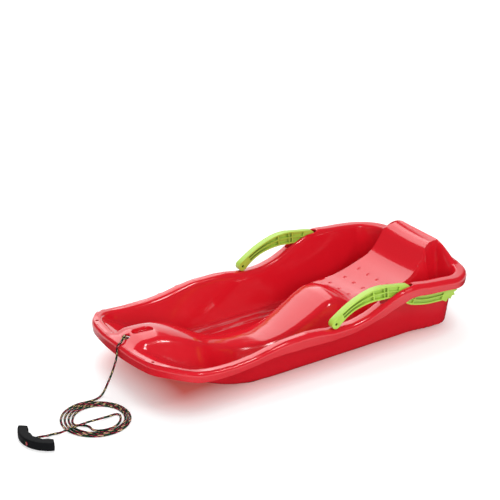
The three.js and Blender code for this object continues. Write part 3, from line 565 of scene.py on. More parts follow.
class Profile:
    """Smooth curve through a few points that never overshoots them."""

    def __init__(self, shares: Shares, size: float) -> None:
        """Keep points whose values are shares of a size.

        Args:
            shares: Pairs of a place, as a share of the length, and a value, as a share of the size.
            size: The size.
        """
        table = np.array(shares, float)
        self.at = table[:, 0]
        self.value = table[:, 1] * size
        slope = np.diff(self.value) / np.diff(self.at)
        product = slope[:-1] * slope[1:]
        total = slope[:-1] + slope[1:]
        inner = np.where(product > 0, 2 * product / np.where(total == 0, 1, total), 0)
        self.tangent = np.concatenate([slope[:1], inner, slope[-1:]])

    def __call__(self, at: np.ndarray) -> np.ndarray:
        """Read the curve.

        Args:
            at: Shares of the length from the nose.

        Returns:
            The values there.
        """
        x = np.clip(at, self.at[0], self.at[-1])
        i = np.clip(np.searchsorted(self.at, x) - 1, 0, len(self.at) - 2)
        span = self.at[i + 1] - self.at[i]
        t = (x - self.at[i]) / span
        rise = t * t * (3 - 2 * t)
        start = t * (1 - t) ** 2 * span * self.tangent[i]
        end = t * t * (t - 1) * span * self.tangent[i + 1]
        return self.value[i] + rise * (self.value[i + 1] - self.value[i]) + start + end


def ease(value: np.ndarray) -> np.ndarray:
    """Turn a clamped share from 0 to 1 into a smooth step."""
    t = np.clip(value, 0, 1)
    return t * t * (3 - 2 * t)


def bulge(share: np.ndarray) -> np.ndarray:
    """Fall from 1 to 0 over a clamped share, flat at first and steep at the end."""
    return 1 - np.clip(share, 0, 1) ** 2


def smooth_max(first: np.ndarray, second: np.ndarray, fillet: float | np.ndarray) -> np.ndarray:
    """Take the higher of two heights, with a fillet where they meet."""
    share = np.maximum(fillet - np.abs(first - second), 0) / fillet
    return np.maximum(first, second) + share ** 3 * fillet / 6


def smooth_min(first: np.ndarray, second: np.ndarray, fillet: float) -> np.ndarray:
    """Take the lower of two heights, with a fillet where they meet."""
    return -smooth_max(-first, -second, fillet)


def between(at: np.ndarray, first: np.ndarray, second: np.ndarray, start: float, end: float) -> np.ndarray:
    """Go from one point to another while a parameter goes from a start to an end."""
    return (end - at) / (end - start) * first + (at - start) / (end - start) * second


@dataclass
class HullForm:
    """Sizes of the hull in millimetres, and the height of its visible surface."""

    length: float = 891
    width: float = 424
    crest_height: float = 181
    rim_height: float = 156
    nose_crest: float = 135
    deck_height: float = 118
    pommel_height: float = 101
    seat_height: float = 78
    floor_height: float = 8
    wall: float = 3
    nose_radius: float = 80
    tail_radius: float = 88
    nose_sag: float = 13
    nose_sag_reach: float = 122
    rim_round: float = 11
    rim_reach: float = 35
    lip_depth: float = 39
    lip_draft: float = 2
    tail_steepness: float = 8
    spine_half: float = 54
    spine_crown: float = 7
    spine_steepness: float = 1.7
    seat_half: float = 86
    seat_steepness: float = 4
    seat_front_share: float = 0.677
    seat_dish: float = 3
    crest_half: float = 60
    shoulder_reach: float = 132
    crest_inset: float = 25.5
    crest_back: float = 16
    crest_front: float = 35
    runner_depth: float = 5
    runner_width: float = 12
    runner_ramp: float = 5
    runner_shares: Pair = (0.26, 0.314)
    runner_front_share: float = 0.265
    runner_fade: float = 44
    floor_fillet: float = 16
    spine_fillet: float = 14
    seat_fillet: float = 10
    edge_fillet: float = 8
    rim_height_shares: Shares = (
        (0, 0.756), (0.039, 0.753), (0.074, 0.715), (0.112, 0.657), (0.163, 0.625), (0.213, 0.619),
        (0.269, 0.641), (0.321, 0.692), (0.376, 0.728), (0.426, 0.729), (0.475, 0.705), (0.524, 0.663),
        (0.571, 0.667), (0.617, 0.712), (0.662, 0.808), (0.701, 0.917), (0.741, 0.987), (0.774, 1),
        (0.824, 0.968), (0.875, 0.939), (0.943, 0.897), (1, 0.891))
    half_width_shares: Shares = (
        (0, 0.906), (0.116, 0.929), (0.202, 0.943), (0.314, 0.948), (0.426, 0.953), (0.539, 0.946),
        (0.628, 0.958), (0.718, 0.974), (0.808, 0.993), (0.853, 1), (0.909, 0.998), (1, 0.981))
    rim_reach_shares: Shares = (
        (0, 0.72), (0.09, 0.74), (0.183, 0.63), (0.28, 0.63), (0.364, 0.69), (0.449, 0.8),
        (0.651, 0.86), (0.79, 0.89), (0.898, 1), (1, 0.86))
    lip_depth_shares: Shares = (
        (0, 0.667), (0.153, 0.65), (0.25, 0.6), (0.31, 0.65), (0.366, 0.76), (0.41, 0.815),
        (0.452, 0.8), (0.49, 0.74), (0.53, 0.65), (0.611, 0.62), (0.653, 0.7), (0.692, 0.86),
        (0.735, 0.89), (0.765, 0.74), (0.813, 0.69), (0.86, 0.66), (1, 0.62))
    foot_half_shares: Shares = (
        (0, 0.62), (0.1, 0.66), (0.2, 0.67), (0.27, 0.675), (0.32, 0.697), (0.37, 0.71), (1, 0.712))
    well_floor_shares: Shares = (
        (0, 1), (0.045, 0.93), (0.09, 0.71), (0.135, 0.5), (0.18, 0.31), (0.224, 0.15),
        (0.269, 0.036), (0.303, 0.003), (0.337, 0), (1, 0))
    nose_spine_shares: Shares = (
        (0, 0.874), (0.034, 0.945), (0.062, 0.996), (0.09, 0.99), (0.123, 0.953), (0.157, 0.882),
        (0.191, 0.783), (0.224, 0.667), (0.258, 0.541), (0.292, 0.441), (0.325, 0.367), (0.37, 0.311))
    pommel_ramp_shares: Shares = (
        (0.426, 0.381), (0.471, 0.426), (0.516, 0.554), (0.561, 0.743), (0.595, 0.901), (0.623, 0.99),
        (0.642, 1), (0.66, 0.96), (0.679, 0.87), (0.701, 0.72), (0.74, 0.45), (1, 0.2))
    spine_half_shares: Shares = (
        (0, 1.1), (0.034, 0.85), (0.09, 0.8), (0.135, 0.89), (0.18, 1), (0.213, 0.96), (0.252, 0.78),
        (0.287, 0.67), (0.321, 0.63), (0.377, 0.76), (0.437, 0.85), (0.505, 0.93), (0.595, 1), (1, 0.95))
    pan_height_shares: Shares = (
        (0, 0.98), (0.66, 0.98), (0.74, 1), (0.774, 1.06), (0.808, 1.16), (0.834, 1.255))
    backrest_shares: Shares = (
        (0.854, 0.573), (0.872, 0.616), (0.886, 0.676), (0.899, 0.762), (0.91, 0.849), (0.918, 0.911),
        (0.928, 0.962), (0.943, 0.993), (0.96, 1), (0.972, 0.985), (0.982, 0.9), (0.991, 0.7), (1, 0.5))
    seat_half_shares: Shares = (
        (0, 0.96), (0.67, 0.985), (0.7, 1), (0.808, 1), (0.872, 0.985), (0.899, 0.965), (0.918, 0.94),
        (0.928, 0.885), (0.946, 0.84), (0.968, 0.83), (1, 0.88))

    def __post_init__(self) -> None:
        """Prepare the profiles along the sled."""
        self.nose_y = -self.length / 2
        self.tail_y = self.length / 2
        self.seat_front = self.nose_y + self.length * self.seat_front_share
        self.runner_front = self.nose_y + self.length * self.runner_front_share
        self._rim = Profile(self.rim_height_shares, self.rim_height)
        self._half = Profile(self.half_width_shares, self.width / 2)
        self._reach = Profile(self.rim_reach_shares, self.rim_reach)
        self._lip = Profile(self.lip_depth_shares, self.lip_depth)
        self._foot = Profile(self.foot_half_shares, self.width / 2)
        self._floor = Profile(self.well_floor_shares, self.deck_height - self.floor_height)
        self._spine = Profile(self._joined(
            (self.nose_spine_shares, self.nose_crest), (self.pommel_ramp_shares, self.pommel_height)), 1)
        self._spine_half = Profile(self.spine_half_shares, self.spine_half)
        self._seat = Profile(self._joined(
            (self.pan_height_shares, self.seat_height), (self.backrest_shares, self.crest_height)), 1)
        self._seat_half = Profile(self.seat_half_shares, self.seat_half)

    @staticmethod
    def _joined(*parts: tuple[Shares, float]) -> Shares:
        """Join tables with sizes of their own into one table of lengths."""
        return tuple((at, share * size) for shares, size in parts for at, share in shares)

    def share(self, y: np.ndarray) -> np.ndarray:
        """Give the share of the length from the nose at a place."""
        return (y - self.nose_y) / self.length

    def rim_base(self, y: np.ndarray) -> np.ndarray:
        """Give the height of the rim without the rear crest."""
        return self._rim(self.share(y))

    def half_width(self, y: np.ndarray) -> np.ndarray:
        """Give half of the width over the rim."""
        return self._half(self.share(y))

    def reach(self, y: np.ndarray) -> np.ndarray:
        """Give how far the rim's top reaches inwards."""
        return self._reach(self.share(y))

    def nose_edge(self, x: np.ndarray) -> np.ndarray:
        """Give Y of the bowed front edge."""
        return self.nose_y + self.nose_sag * (x / self.nose_sag_reach) ** 2

    def lip_bottom(self, y: np.ndarray) -> np.ndarray:
        """Give the height of the lip's lower edge."""
        return self.rim_base(y) - self._lip(self.share(y))

    @staticmethod
    def _rounded_inset(side: np.ndarray, end: np.ndarray, radius: float) -> np.ndarray:
        """Give the distance inside a corner rounded by a radius."""
        inner = radius - np.hypot(radius - side, radius - end)
        return np.where((side >= radius) | (end >= radius), np.minimum(side, end), inner)

    def inset(self, x: np.ndarray, y: np.ndarray) -> np.ndarray:
        """Give the distance inside the outline of the plan.

        Args:
            x: Places across, in millimetres.
            y: Places along, in millimetres.

        Returns:
            Distances in millimetres, negative outside.
        """
        side = self.half_width(y) - np.abs(x)
        nose = self._rounded_inset(side, y - self.nose_edge(x), self.nose_radius)
        return np.minimum(nose, self._rounded_inset(side, self.tail_y - y, self.tail_radius))

    def rim_top(self, x: np.ndarray, y: np.ndarray) -> np.ndarray:
        """Give the height of the rim, with the crest behind the backrest.

        Args:
            x: Places across, in millimetres.
            y: Places along, in millimetres.

        Returns:
            Heights above the ground.
        """
        sides = bulge((np.abs(x) - self.crest_half) / (self.shoulder_reach - self.crest_half))
        crest = self.tail_y - self.crest_inset
        front = ease((y - crest + self.crest_front) / self.crest_front)
        rise = (self.crest_height - self._rim(np.array(1.0))) * sides * front
        return self.rim_base(y) + rise * bulge((y - crest) / self.crest_back)

    def wall_surface(self, x: np.ndarray, y: np.ndarray) -> np.ndarray:
        """Give the rim and the tub's wall.

        Args:
            x: Places across, in millimetres.
            y: Places along, in millimetres.

        Returns:
            Heights above the ground.
        """
        tail = ease((y - (self.tail_y - 2 * self.tail_radius)) / self.tail_radius)
        side = (self.rim_base(y) - self.floor_height) / (
            self.half_width(y) - self.reach(y) - self._foot(self.share(y)))
        steepness = side + (self.tail_steepness - side) * tail
        beyond = smooth_max(np.zeros_like(x), self.inset(x, y) - self.reach(y), self.edge_fillet)
        return self.rim_top(x, y) - steepness * beyond

    def spine_surface(self, x: np.ndarray, y: np.ndarray) -> np.ndarray:
        """Give the ridge between the legs, from the nose deck to the pommel.

        Args:
            x: Places across, in millimetres.
            y: Places along, in millimetres.

        Returns:
            Heights above the ground.
        """
        half = self._spine_half(self.share(y))
        top_line = self._spine(self.share(y))
        top = top_line - self.spine_crown * (x / half) ** 2
        side = top_line - self.spine_crown - self.spine_steepness * (np.abs(x) - half)
        return smooth_min(top, side, self.spine_fillet)

    def seat_surface(self, x: np.ndarray, y: np.ndarray) -> np.ndarray:
        """Give the seat pan and the backrest.

        Args:
            x: Places across, in millimetres.
            y: Places along, in millimetres.

        Returns:
            Heights above the ground.
        """
        half = self._seat_half(self.share(y))
        line = self._seat(self.share(y))
        out = np.clip(np.abs(x) / half, 0, 1)
        top = line - self.seat_dish * (1 - out * out)
        side = line - self.seat_steepness * (np.abs(x) - half)
        front = self.seat_height + self.spine_steepness * (y - self.seat_front)
        return smooth_min(smooth_min(top, side, self.seat_fillet), front, self.seat_fillet)

    def floor_surface(self, x: np.ndarray, y: np.ndarray) -> np.ndarray:
        """Give the floor of the wells with its runner grooves.

        Args:
            x: Places across, in millimetres.
            y: Places along, in millimetres.

        Returns:
            Heights above the ground.
        """
        rise = self._floor(self.share(y))
        flat = ease((y - self.runner_front) / self.runner_fade)
        nearest = np.min([np.abs(np.abs(x) - self.width * share) for share in self.runner_shares], axis=0)
        groove = 1 - np.clip((nearest - self.runner_width / 2) / self.runner_ramp, 0, 1)
        return self.floor_height + rise - self.runner_depth * groove * flat

    def surface(self, x: np.ndarray | float, y: np.ndarray | float) -> np.ndarray:
        """Give the height of the visible surface at places in the plan.

        Args:
            x: Places across, in millimetres.
            y: Places along, in millimetres.

        Returns:
            Heights above the ground.
        """
        x, y = np.asarray(x, float), np.asarray(y, float)
        tub = smooth_max(self.floor_surface(x, y), self.wall_surface(x, y), self.floor_fillet)
        ridge = smooth_max(tub, self.spine_surface(x, y), self.spine_fillet)
        seat = self.seat_surface(x, y)
        below = np.maximum(self.crest_height - self.seat_fillet - np.maximum(ridge, seat), 0)
        rear = ease((y - self.tail_y + self.tail_radius + self.crest_front) / self.tail_radius)
        return smooth_max(ridge, seat, self.seat_fillet + below * rear)

    def raised_edge(self, y: np.ndarray) -> np.ndarray:
        """Give half of the width of the raised middle at its upper edge.

        Args:
            y: Places along, in millimetres.

        Returns:
            Distances from the middle plane.
        """
        spine = self._spine_half(self.share(y)) + self.spine_fillet / 4
        seat = self._seat_half(self.share(y)) + self.seat_fillet / 4
        return spine + (seat - spine) * self.seat_blend(y)

    def raised_foot(self, y: np.ndarray, most: float) -> np.ndarray:
        """Give half of the width of the raised middle at its foot.

        Args:
            y: Places along, in millimetres.
            most: The distance that none goes beyond.

        Returns:
            Distances from the middle plane.
        """
        floor = self.floor_surface(np.zeros_like(y), y)
        spine = (self._spine(self.share(y)) - self.spine_crown - floor) / self.spine_steepness
        seat = (self._seat(self.share(y)) - floor) / self.seat_steepness
        slope = np.maximum(spine + (seat - spine) * self.seat_blend(y), self.edge_fillet)
        return np.minimum(self.raised_edge(y) + slope, most)

    def seat_blend(self, y: np.ndarray) -> np.ndarray:
        """Give 0 in front of the seat and 1 along it."""
        return ease((y - self.seat_front + self.seat_half / 2) / self.seat_half)


@dataclass
class HullGrid:
    """Grid of the hull: a core of rows inside rings that follow the outline."""

    form: HullForm
    fine: int = 4
    core_half_share: float = 0.335
    core_nose_inset: float = 68
    core_tail_inset: float = 51
    corner_rounds: int = 4
    arc_steps: int = 3
    edge_column: int = 4
    foot_column: int = 7
    column_shares: tuple[float, ...] = (
        0, 0.113, 0.225, 0.31, 0.394, 0.493, 0.592, 0.66, 0.697, 0.732, 0.817, 0.859, 0.894, 1)
    row_shares: tuple[float, ...] = (
        0, 0.016, 0.031, 0.048, 0.08, 0.113, 0.148, 0.184, 0.223, 0.262, 0.307, 0.352, 0.404, 0.456, 0.5,
        0.539, 0.573, 0.598, 0.622, 0.643, 0.661, 0.68, 0.699, 0.728, 0.76, 0.799, 0.838, 0.873, 0.903,
        0.926, 0.942, 0.958, 0.969, 0.979, 0.989, 1)
    round_steps: int = 8
    lip_shares: tuple[float, ...] = (0, 0.04, 0.5, 0.96)
    edge_shares: tuple[float, ...] = (
        -2.2, -1.4, -0.8, -0.4, -0.1, 0.2, 0.5, 0.8, 1.2, 1.7)
    wall_shares: tuple[float, ...] = (
        0.1, 0.2, 0.3, 0.4, 0.49, 0.58, 0.66, 0.73, 0.8, 0.86, 0.93, 1)

    def __post_init__(self) -> None:
        """Refine the share tables."""
        self.columns = self._refined(self.column_shares)
        self.rows = self._refined(self.row_shares)
        self.arc = self.arc_steps * self.fine
        self.core_half = self.form.width * self.core_half_share
        self.front = self.form.nose_y + self.core_nose_inset
        self.rear = self.form.tail_y - self.core_tail_inset

    def _refined(self, shares: tuple[float, ...]) -> np.ndarray:
        """Split each step of a table into equal parts.

        Args:
            shares: The table.

        Returns:
            The finer table.
        """
        at = np.arange(len(shares))
        fine = np.linspace(0, len(shares) - 1, (len(shares) - 1) * self.fine + 1)
        return np.interp(fine, at, shares)

    def _corner(self, turn: np.ndarray, depth: np.ndarray, radius: float, tail: bool) -> np.ndarray:
        """Give places on the arc that rounds a corner at an inset.

        Args:
            turn: Angles from the end of the sled towards its side.
            depth: Inset of each place.
            radius: Radius of the corner in the outline.
            tail: Whether it is a rear corner.

        Returns:
            Rows of x and y.
        """
        side = radius - (radius - depth) * np.sin(turn)
        end = radius - (radius - depth) * np.cos(turn)
        x = self.form.width / 2 - side
        for _ in range(self.corner_rounds):
            y = self.form.tail_y - end if tail else self.form.nose_edge(x) + end
            x = self.form.half_width(y) - side
        return np.stack([x, y], 1)

    def half_contour(self, depth: np.ndarray) -> np.ndarray:
        """Give the outline at an inset, from the middle of the nose to the middle of the tail.

        Args:
            depth: Inset of each point.

        Returns:
            Rows of x and y.
        """
        form = self.form
        straight = len(self.columns) - 1 - self.arc
        turn = np.arange(2 * self.arc + 1) * math.pi / (4 * self.arc)
        share = self.columns[:straight] / self.columns[straight]
        at = straight + len(turn)
        nose = self._corner(turn, depth[straight:at], form.nose_radius, tail=False)
        x = nose[0, 0] * share
        front = np.stack([x, form.nose_edge(x) + depth[:straight]], 1)
        rows = self.rows[self.arc:len(self.rows) - self.arc]
        run = (rows[1:-1] - rows[0]) / (rows[-1] - rows[0])
        y = nose[-1, 1] + run * (form.tail_y - form.tail_radius - nose[-1, 1])
        side = np.stack([form.half_width(y) - depth[at:at + len(y)], y], 1)
        at += len(y)
        tail = self._corner(turn[::-1], depth[at:at + len(turn)], form.tail_radius, tail=True)
        at += len(turn)
        x = tail[-1, 0] * share[::-1]
        rear = np.stack([x, form.tail_y - depth[at:]], 1)
        return np.concatenate([front, nose, side, tail, rear])

    def _closed(self, half: np.ndarray) -> np.ndarray:
        """Add the mirrored half to a half outline."""
        return np.concatenate([half, half[1:-1][::-1] * [-1, 1]])

    def contour(self, depth: float | np.ndarray) -> np.ndarray:
        """Give the whole outline at an inset, or at an inset for each point of a half."""
        count = 2 * len(self.columns) + len(self.rows) - 2
        return self._closed(self.half_contour(np.broadcast_to(depth, count).astype(float)))

    def column_places(self, y: float) -> np.ndarray:
        """Give X of the core's columns at a row, which follow the folds of the surface.

        Args:
            y: Place of the row along the sled, in millimetres.

        Returns:
            Distances from the middle plane.
        """
        most = self.core_half * self.column_shares[self.foot_column]
        edge = float(self.form.raised_edge(np.array(y)))
        foot = float(self.form.raised_foot(np.array(y), most))
        outer = self.column_shares[self.foot_column + 1:]
        knots = [0, self.column_shares[self.edge_column], self.column_shares[self.foot_column], *outer]
        places = [0, edge, foot, *(self.core_half * share for share in outer)]
        return np.interp(self.columns, knots, places)

    def core_boundary(self) -> np.ndarray:
        """Give the outline of the core.

        Returns:
            Rows of x and y, from the middle of its front all round.
        """
        front = self.column_places(self.front)
        rear = self.column_places(self.rear)
        y = self.front + (self.rear - self.front) * self.rows[1:-1]
        parts = [
            np.stack([front, np.full_like(front, self.front)], 1),
            np.stack([np.full_like(y, self.core_half), y], 1),
            np.stack([rear, np.full_like(rear, self.rear)], 1)[::-1],
        ]
        return self._closed(np.concatenate(parts))

    def lifted(self, plan: np.ndarray) -> np.ndarray:
        """Give points of the surface over places in the plan."""
        return np.column_stack([plan, self.form.surface(plan[:, 0], plan[:, 1])])

    def rings(self) -> list[np.ndarray]:
        """Give rings of points from the lip's lower edge inwards to the core.

        Returns:
            Rows of x, y and z for each ring.
        """
        form = self.form
        lip = self.contour(form.lip_draft)
        outer = self.contour(0)
        shoulder = self.lifted(self.contour(form.rim_round))
        low = form.lip_bottom(lip[:, 1])
        high = shoulder[:, 2] - form.rim_round
        rings = []
        for share in self.lip_shares:
            rings.append(np.column_stack([lip + (outer - lip) * share, low + (high - low) * share]))
        for step in range(self.round_steps):
            turn = step * math.pi / 2 / self.round_steps
            plan = self.contour(form.rim_round * (1 - math.cos(turn)))
            rings.append(np.column_stack([plan, high + form.rim_round * math.sin(turn)]))
        rings.append(shoulder)
        count = len(shoulder) // 2 + 1
        reach = form.reach(shoulder[:count, 1])
        for step in self.edge_shares:
            rings.append(self.lifted(self.contour(reach + step * form.edge_fillet)))
        edge, core = rings[-1][:, :2], self.core_boundary()
        for share in self.wall_shares:
            rings.append(self.lifted(edge + (core - edge) * share))
        return rings

    def build(self) -> tuple[np.ndarray, Faces]:
        """Give the points and faces of the visible skin.

        Returns:
            Points in millimetres and quads.
        """
        rings = self.rings()
        around = len(rings[0])
        points = [np.concatenate(rings)]
        faces = band_faces(len(rings), around)
        start = (len(rings) - 1) * around
        last, rows = len(self.columns) - 1, len(self.rows) - 1
        total = len(points[0])
        grid = np.zeros((rows + 1, 2 * last + 1), int)
        sides = np.arange(2 * last + 1) - last
        grid[0] = start + (sides + around) % around
        grid[rows] = start + around // 2 - sides
        for row in range(1, rows):
            y = self.front + (self.rear - self.front) * self.rows[row]
            x = self.column_places(y)[np.abs(sides)] * np.sign(sides)
            points.append(self.lifted(np.column_stack([x, np.full_like(x, y)])[1:-1]))
            grid[row, 1:-1] = total + np.arange(2 * last - 1)
            total += 2 * last - 1
            grid[row, -1] = start + last + row
            grid[row, 0] = start + around - last - row
        cells = grid.tolist()
        for near, far in zip(cells, cells[1:]):
            for c in range(2 * last):
                faces.append((near[c], near[c + 1], far[c + 1], far[c]))
        return np.concatenate(points), faces


@dataclass
class RoundedMouth:
    """Cutter for a slot or hole with round ends, whose mouth is rounded into the surface."""

    form: HullForm
    x: float
    y: float
    half_width: float
    length: float
    mouth_round: float
    floor: float | None = None
    through: float = 0
    overhang: float = 0.4
    steps: int = 6
    sides: int = 24
    mouth_degrees: float = 80

    def _outline(self, grow: float) -> np.ndarray:
        """Give the slot's outline, widened all round by a distance.

        Args:
            grow: The distance.

        Returns:
            Rows of x and y.
        """
        turn = (np.arange(self.sides) + 0.5) * math.pi / self.sides
        end = np.stack([np.cos(turn), np.sin(turn)], 1) * (self.half_width + grow)
        far = end + [self.x, self.y + self.length / 2 - self.half_width]
        near = [self.x, self.y - self.length / 2 + self.half_width] - end
        return np.concatenate([far, near])

    def _round(self, turn: float) -> Pair:
        """Give how far the mouth's rounding stands off sideways and in depth at an angle."""
        return self.mouth_round * (1 - math.cos(turn)), self.mouth_round * (1 - math.sin(turn))

    def _lower_sections(self, edge: float) -> list[Pair]:
        """Give pairs of widening and height under the mouth.

        Args:
            edge: Height of the lowest point of the mouth's rounding.

        Returns:
            One pair for a hole, or those of the rounded foot of a slot that has a floor.
        """
        if self.floor is None:
            return [(0, edge - self.through)]
        pairs = [self._round(math.pi / 2 * step / self.steps) for step in range(self.steps + 1)]
        return [(-grow, self.floor + rise) for grow, rise in pairs]

    def build(self) -> Piece:
        """Build the cutter.

        Returns:
            A closed mesh.
        """
        steps = range(self.steps, -1, -1)
        mouth = [self._round(math.radians(self.mouth_degrees) * step / self.steps) for step in steps]
        rings = []
        for grow, depth in [(mouth[0][0] + self.overhang, -self.mouth_round), *mouth]:
            plan = self._outline(grow)
            rings.append(np.column_stack([plan, self.form.surface(plan[:, 0], plan[:, 1]) - depth]))
        lid = rings[0].copy()
        lid[:, 2] = lid[:, 2].max() + self.mouth_round
        rings.insert(0, lid)
        for grow, height in self._lower_sections(float(rings[-1][:, 2].min())):
            plan = self._outline(grow)
            rings.append(np.column_stack([plan, np.full(len(plan), height)]))
        cutter = mesh_piece("cutter", np.concatenate(rings), tube_faces(len(rings), len(rings[0])))
        reshape(cutter, face_outwards)
        return cutter


@dataclass
class Hull:
    """Moulded shell with its holes, slots, bearing ears and seat dimples."""

    form: HullForm = field(default_factory=HullForm)
    node: str = "hull"
    quick_fine: int = 2
    smooth_degrees: float = 38
    hole_sides: int = 24
    tow_hole_radius: float = 9
    tow_hole_inset: float = 30
    tow_hole_round: float = 2.2
    hang_slot_inset: float = 73
    hang_slot_length: float = 52
    hang_slot_width: float = 22
    hang_slot_depth: float = 10
    hang_slot_round: float = 2.4
    deck_hole_radius: float = 4
    deck_hole_offset: float = 122
    deck_hole_inset: float = 26
    lever_inset: float = 18.4
    slot_width: float = 15
    slot_ahead: float = 69
    slot_behind: float = 23.5
    slot_round: float = 1.2
    pivot_inset: float = 223
    pivot_drop: float = 14.8
    pin_bore: float = 2.8
    ear_radius: float = 10
    ear_thickness: float = 4
    dimple_radius: float = 7
    dimple_depth: float = 1.3
    dimple_rings: int = 12
    dimple_columns: tuple[float, ...] = (-55, -18, 18, 55)
    dimple_rows: tuple[float, ...] = (193.5, 236.5, 278.5)

    def __post_init__(self) -> None:
        """Place the levers' pivots and slots and the hang slot from the hull's own surface."""
        self.pivot_y = self.form.tail_y - self.pivot_inset
        self.pivot_rim = float(self.form.rim_base(np.array(self.pivot_y)))
        self.pivot_half = float(self.form.half_width(np.array(self.pivot_y)))
        self.pivot_z = self.pivot_rim - self.pivot_drop
        self.lever_offset = self.pivot_half - self.lever_inset
        self.slot_inner = self.lever_offset - self.slot_width / 2
        self.slot_outer = self.lever_offset + self.slot_width / 2
        self.hang_slot_y = self.form.nose_y + self.hang_slot_inset
        self.hang_slot_floor = float(self.form.surface(0, self.hang_slot_y)) - self.hang_slot_depth

    def build(self) -> Piece:
        """Build the hull and put it on the sled's body.

        Returns:
            The finished hull.
        """
        grid = HullGrid(self.form)
        shell = mesh_piece("hull_shell", *grid.build())
        apply_modifier(shell, "SOLIDIFY", thickness=self.form.wall * MM, offset=-1.0, use_even_offset=False)
        combine(shell, self._additions(), "UNION")
        combine(shell, self._slots(), "DIFFERENCE")
        combine(shell, self._bores() + self._dimples(), "DIFFERENCE")
        smooth(shell, self.smooth_degrees)
        paint(shell, HULL_RED.material())
        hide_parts(self.node)
        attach(shell, "sled")
        return shell

    def _additions(self) -> list[Piece]:
        """Make what is added under the skin.

        Returns:
            The pan of the hang slot and the ears.
        """
        wall = self.form.wall
        half = self.hang_slot_length / 2 + wall
        low = self.hang_slot_floor - wall
        tools = [upright_slot(
            self.hang_slot_width + 2 * wall, (self.hang_slot_y - half, self.hang_slot_y + half),
            (low, low + self.hang_slot_depth), 0)]
        for side in Side:
            tools.append(self._ear(self.slot_inner - self.ear_thickness, self.slot_inner, side))
            tools.append(self._ear(self.slot_outer, self.pivot_half - wall / 2, side))
        return tools

    def _ear(self, start: float, end: float, side: Side) -> Piece:
        """Make a tongue that hangs from the rim and carries one end of a pin.

        Args:
            start: Distance of its inner face from the middle plane.
            end: Distance of its outer face.
            side: The side that it is on.

        Returns:
            A closed mesh.
        """
        centre = (side.value * (start + end) / 2, self.pivot_y, self.pivot_z)
        ear = round_bar(self.ear_radius, end - start, centre, Turn.ALONG_X.value)
        for vertex in ear.data.vertices:
            if vertex.co.z > self.pivot_z * MM:
                reach = math.copysign(self.ear_radius, vertex.co.y - self.pivot_y * MM)
                vertex.co.y = (self.pivot_y + reach) * MM
                vertex.co.z = (self.pivot_rim - self.form.wall / 2) * MM
        reshape(ear, merging(), face_outwards)
        return ear

    def _slots(self) -> list[Piece]:
        """Make the cutters of the nose deck's recess and holes and of the levers' slots.

        Returns:
            Closed meshes.
        """
        form = self.form
        tools = [
            RoundedMouth(form, 0, self.hang_slot_y, self.hang_slot_width / 2, self.hang_slot_length,
                         self.hang_slot_round, floor=self.hang_slot_floor).build(),
            RoundedMouth(form, 0, form.nose_y + self.tow_hole_inset, self.tow_hole_radius,
                         2 * self.tow_hole_radius, self.tow_hole_round, through=form.lip_depth).build()]
        middle = self.pivot_y + (self.slot_behind - self.slot_ahead) / 2
        for side in Side:
            x = side.value * self.deck_hole_offset
            y = float(form.nose_edge(np.array(x))) + self.deck_hole_inset / 2
            centre = (x, y, form.nose_crest - form.lip_depth / 2)
            tools.append(round_bar(self.deck_hole_radius, 2 * form.lip_depth, centre, sides=self.hole_sides))
            tools.append(RoundedMouth(
                form, side.value * self.lever_offset, middle, self.slot_width / 2,
                self.slot_ahead + self.slot_behind, self.slot_round, through=2 * form.lip_depth).build())
        return tools

    def _bores(self) -> list[Piece]:
        """Make the cutters of the pins' bores through the ears.

        Returns:
            Closed meshes.
        """
        length = self.slot_width + 2 * self.ear_thickness
        centres = [(side.value * self.lever_offset, self.pivot_y, self.pivot_z) for side in Side]
        return [round_bar(self.pin_bore, length, centre, Turn.ALONG_X.value, self.hole_sides)
                for centre in centres]

    def _dimples(self) -> list[Piece]:
        """Make the cutters of the seat's grip dimples.

        Returns:
            Closed meshes.
        """
        tools = []
        for x, y in product(self.dimple_columns, self.dimple_rows):
            height = float(self.form.surface(x, y)) + self.dimple_radius - self.dimple_depth
            deselect()
            bpy.ops.mesh.primitive_uv_sphere_add(
                segments=self.hole_sides, ring_count=self.dimple_rings, radius=self.dimple_radius * MM,
                location=(x * MM, y * MM, height * MM))
            tools.append(settle(bpy.context.object))
        return tools


# Levers and pins


@dataclass
class RoundedCopy:
    """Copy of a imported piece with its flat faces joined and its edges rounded."""

    node: str
    name: str
    body: str
    slot: str
    edge_radius: float
    merge_reach: float = 2e-6
    segments: int = 2
    flat_degrees: float = 2.0
    bevel_degrees: float = 28.0
    smooth_degrees: float = 32.0

    def build(self, material: bpy.types.Material) -> Piece:
        """Build the copy.

        Args:
            material: The finish of the piece.

        Returns:
            The finished piece.
        """
        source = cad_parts[self.node]
        piece = bpy.data.objects.new(self.name, source.data.copy())
        bpy.context.collection.objects.link(piece)
        piece.data.name = self.name
        reshape(piece, merging(self.merge_reach),
                partial(bpy.ops.mesh.dissolve_limited, angle_limit=math.radians(self.flat_degrees)))
        apply_modifier(
            piece, "BEVEL", width=self.edge_radius * MM, segments=self.segments,
            limit_method="ANGLE", angle_limit=math.radians(self.bevel_degrees), harden_normals=False)
        smooth(piece, self.smooth_degrees)
        paint(piece, material)
        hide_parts(self.node)
        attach(piece, self.body)
        return piece


@dataclass
class Brakes:
    """Brake levers and the pins that carry them."""

    lever_edge: float = 0.7
    pin_edge: float = 0.4

    def build(self) -> None:
        """Build the lever and the pin of each side."""
        lime, steel = LEVER_LIME.material(), TurnedSteel().material()
        for side in Side:
            lever, pin, body = (f"{kind}_{side.word}" for kind in ("brake_lever", "pivot_pin", "lever"))
            RoundedCopy(lever, f"{lever}_moulded", body, "brake_lime", self.lever_edge).build(lime)
            RoundedCopy(pin, f"{pin}_turned", "sled", "pin_steel", self.pin_edge).build(steel)
            LOG.info("%s brake lever and pin", side.word)


# Tow rope and handle


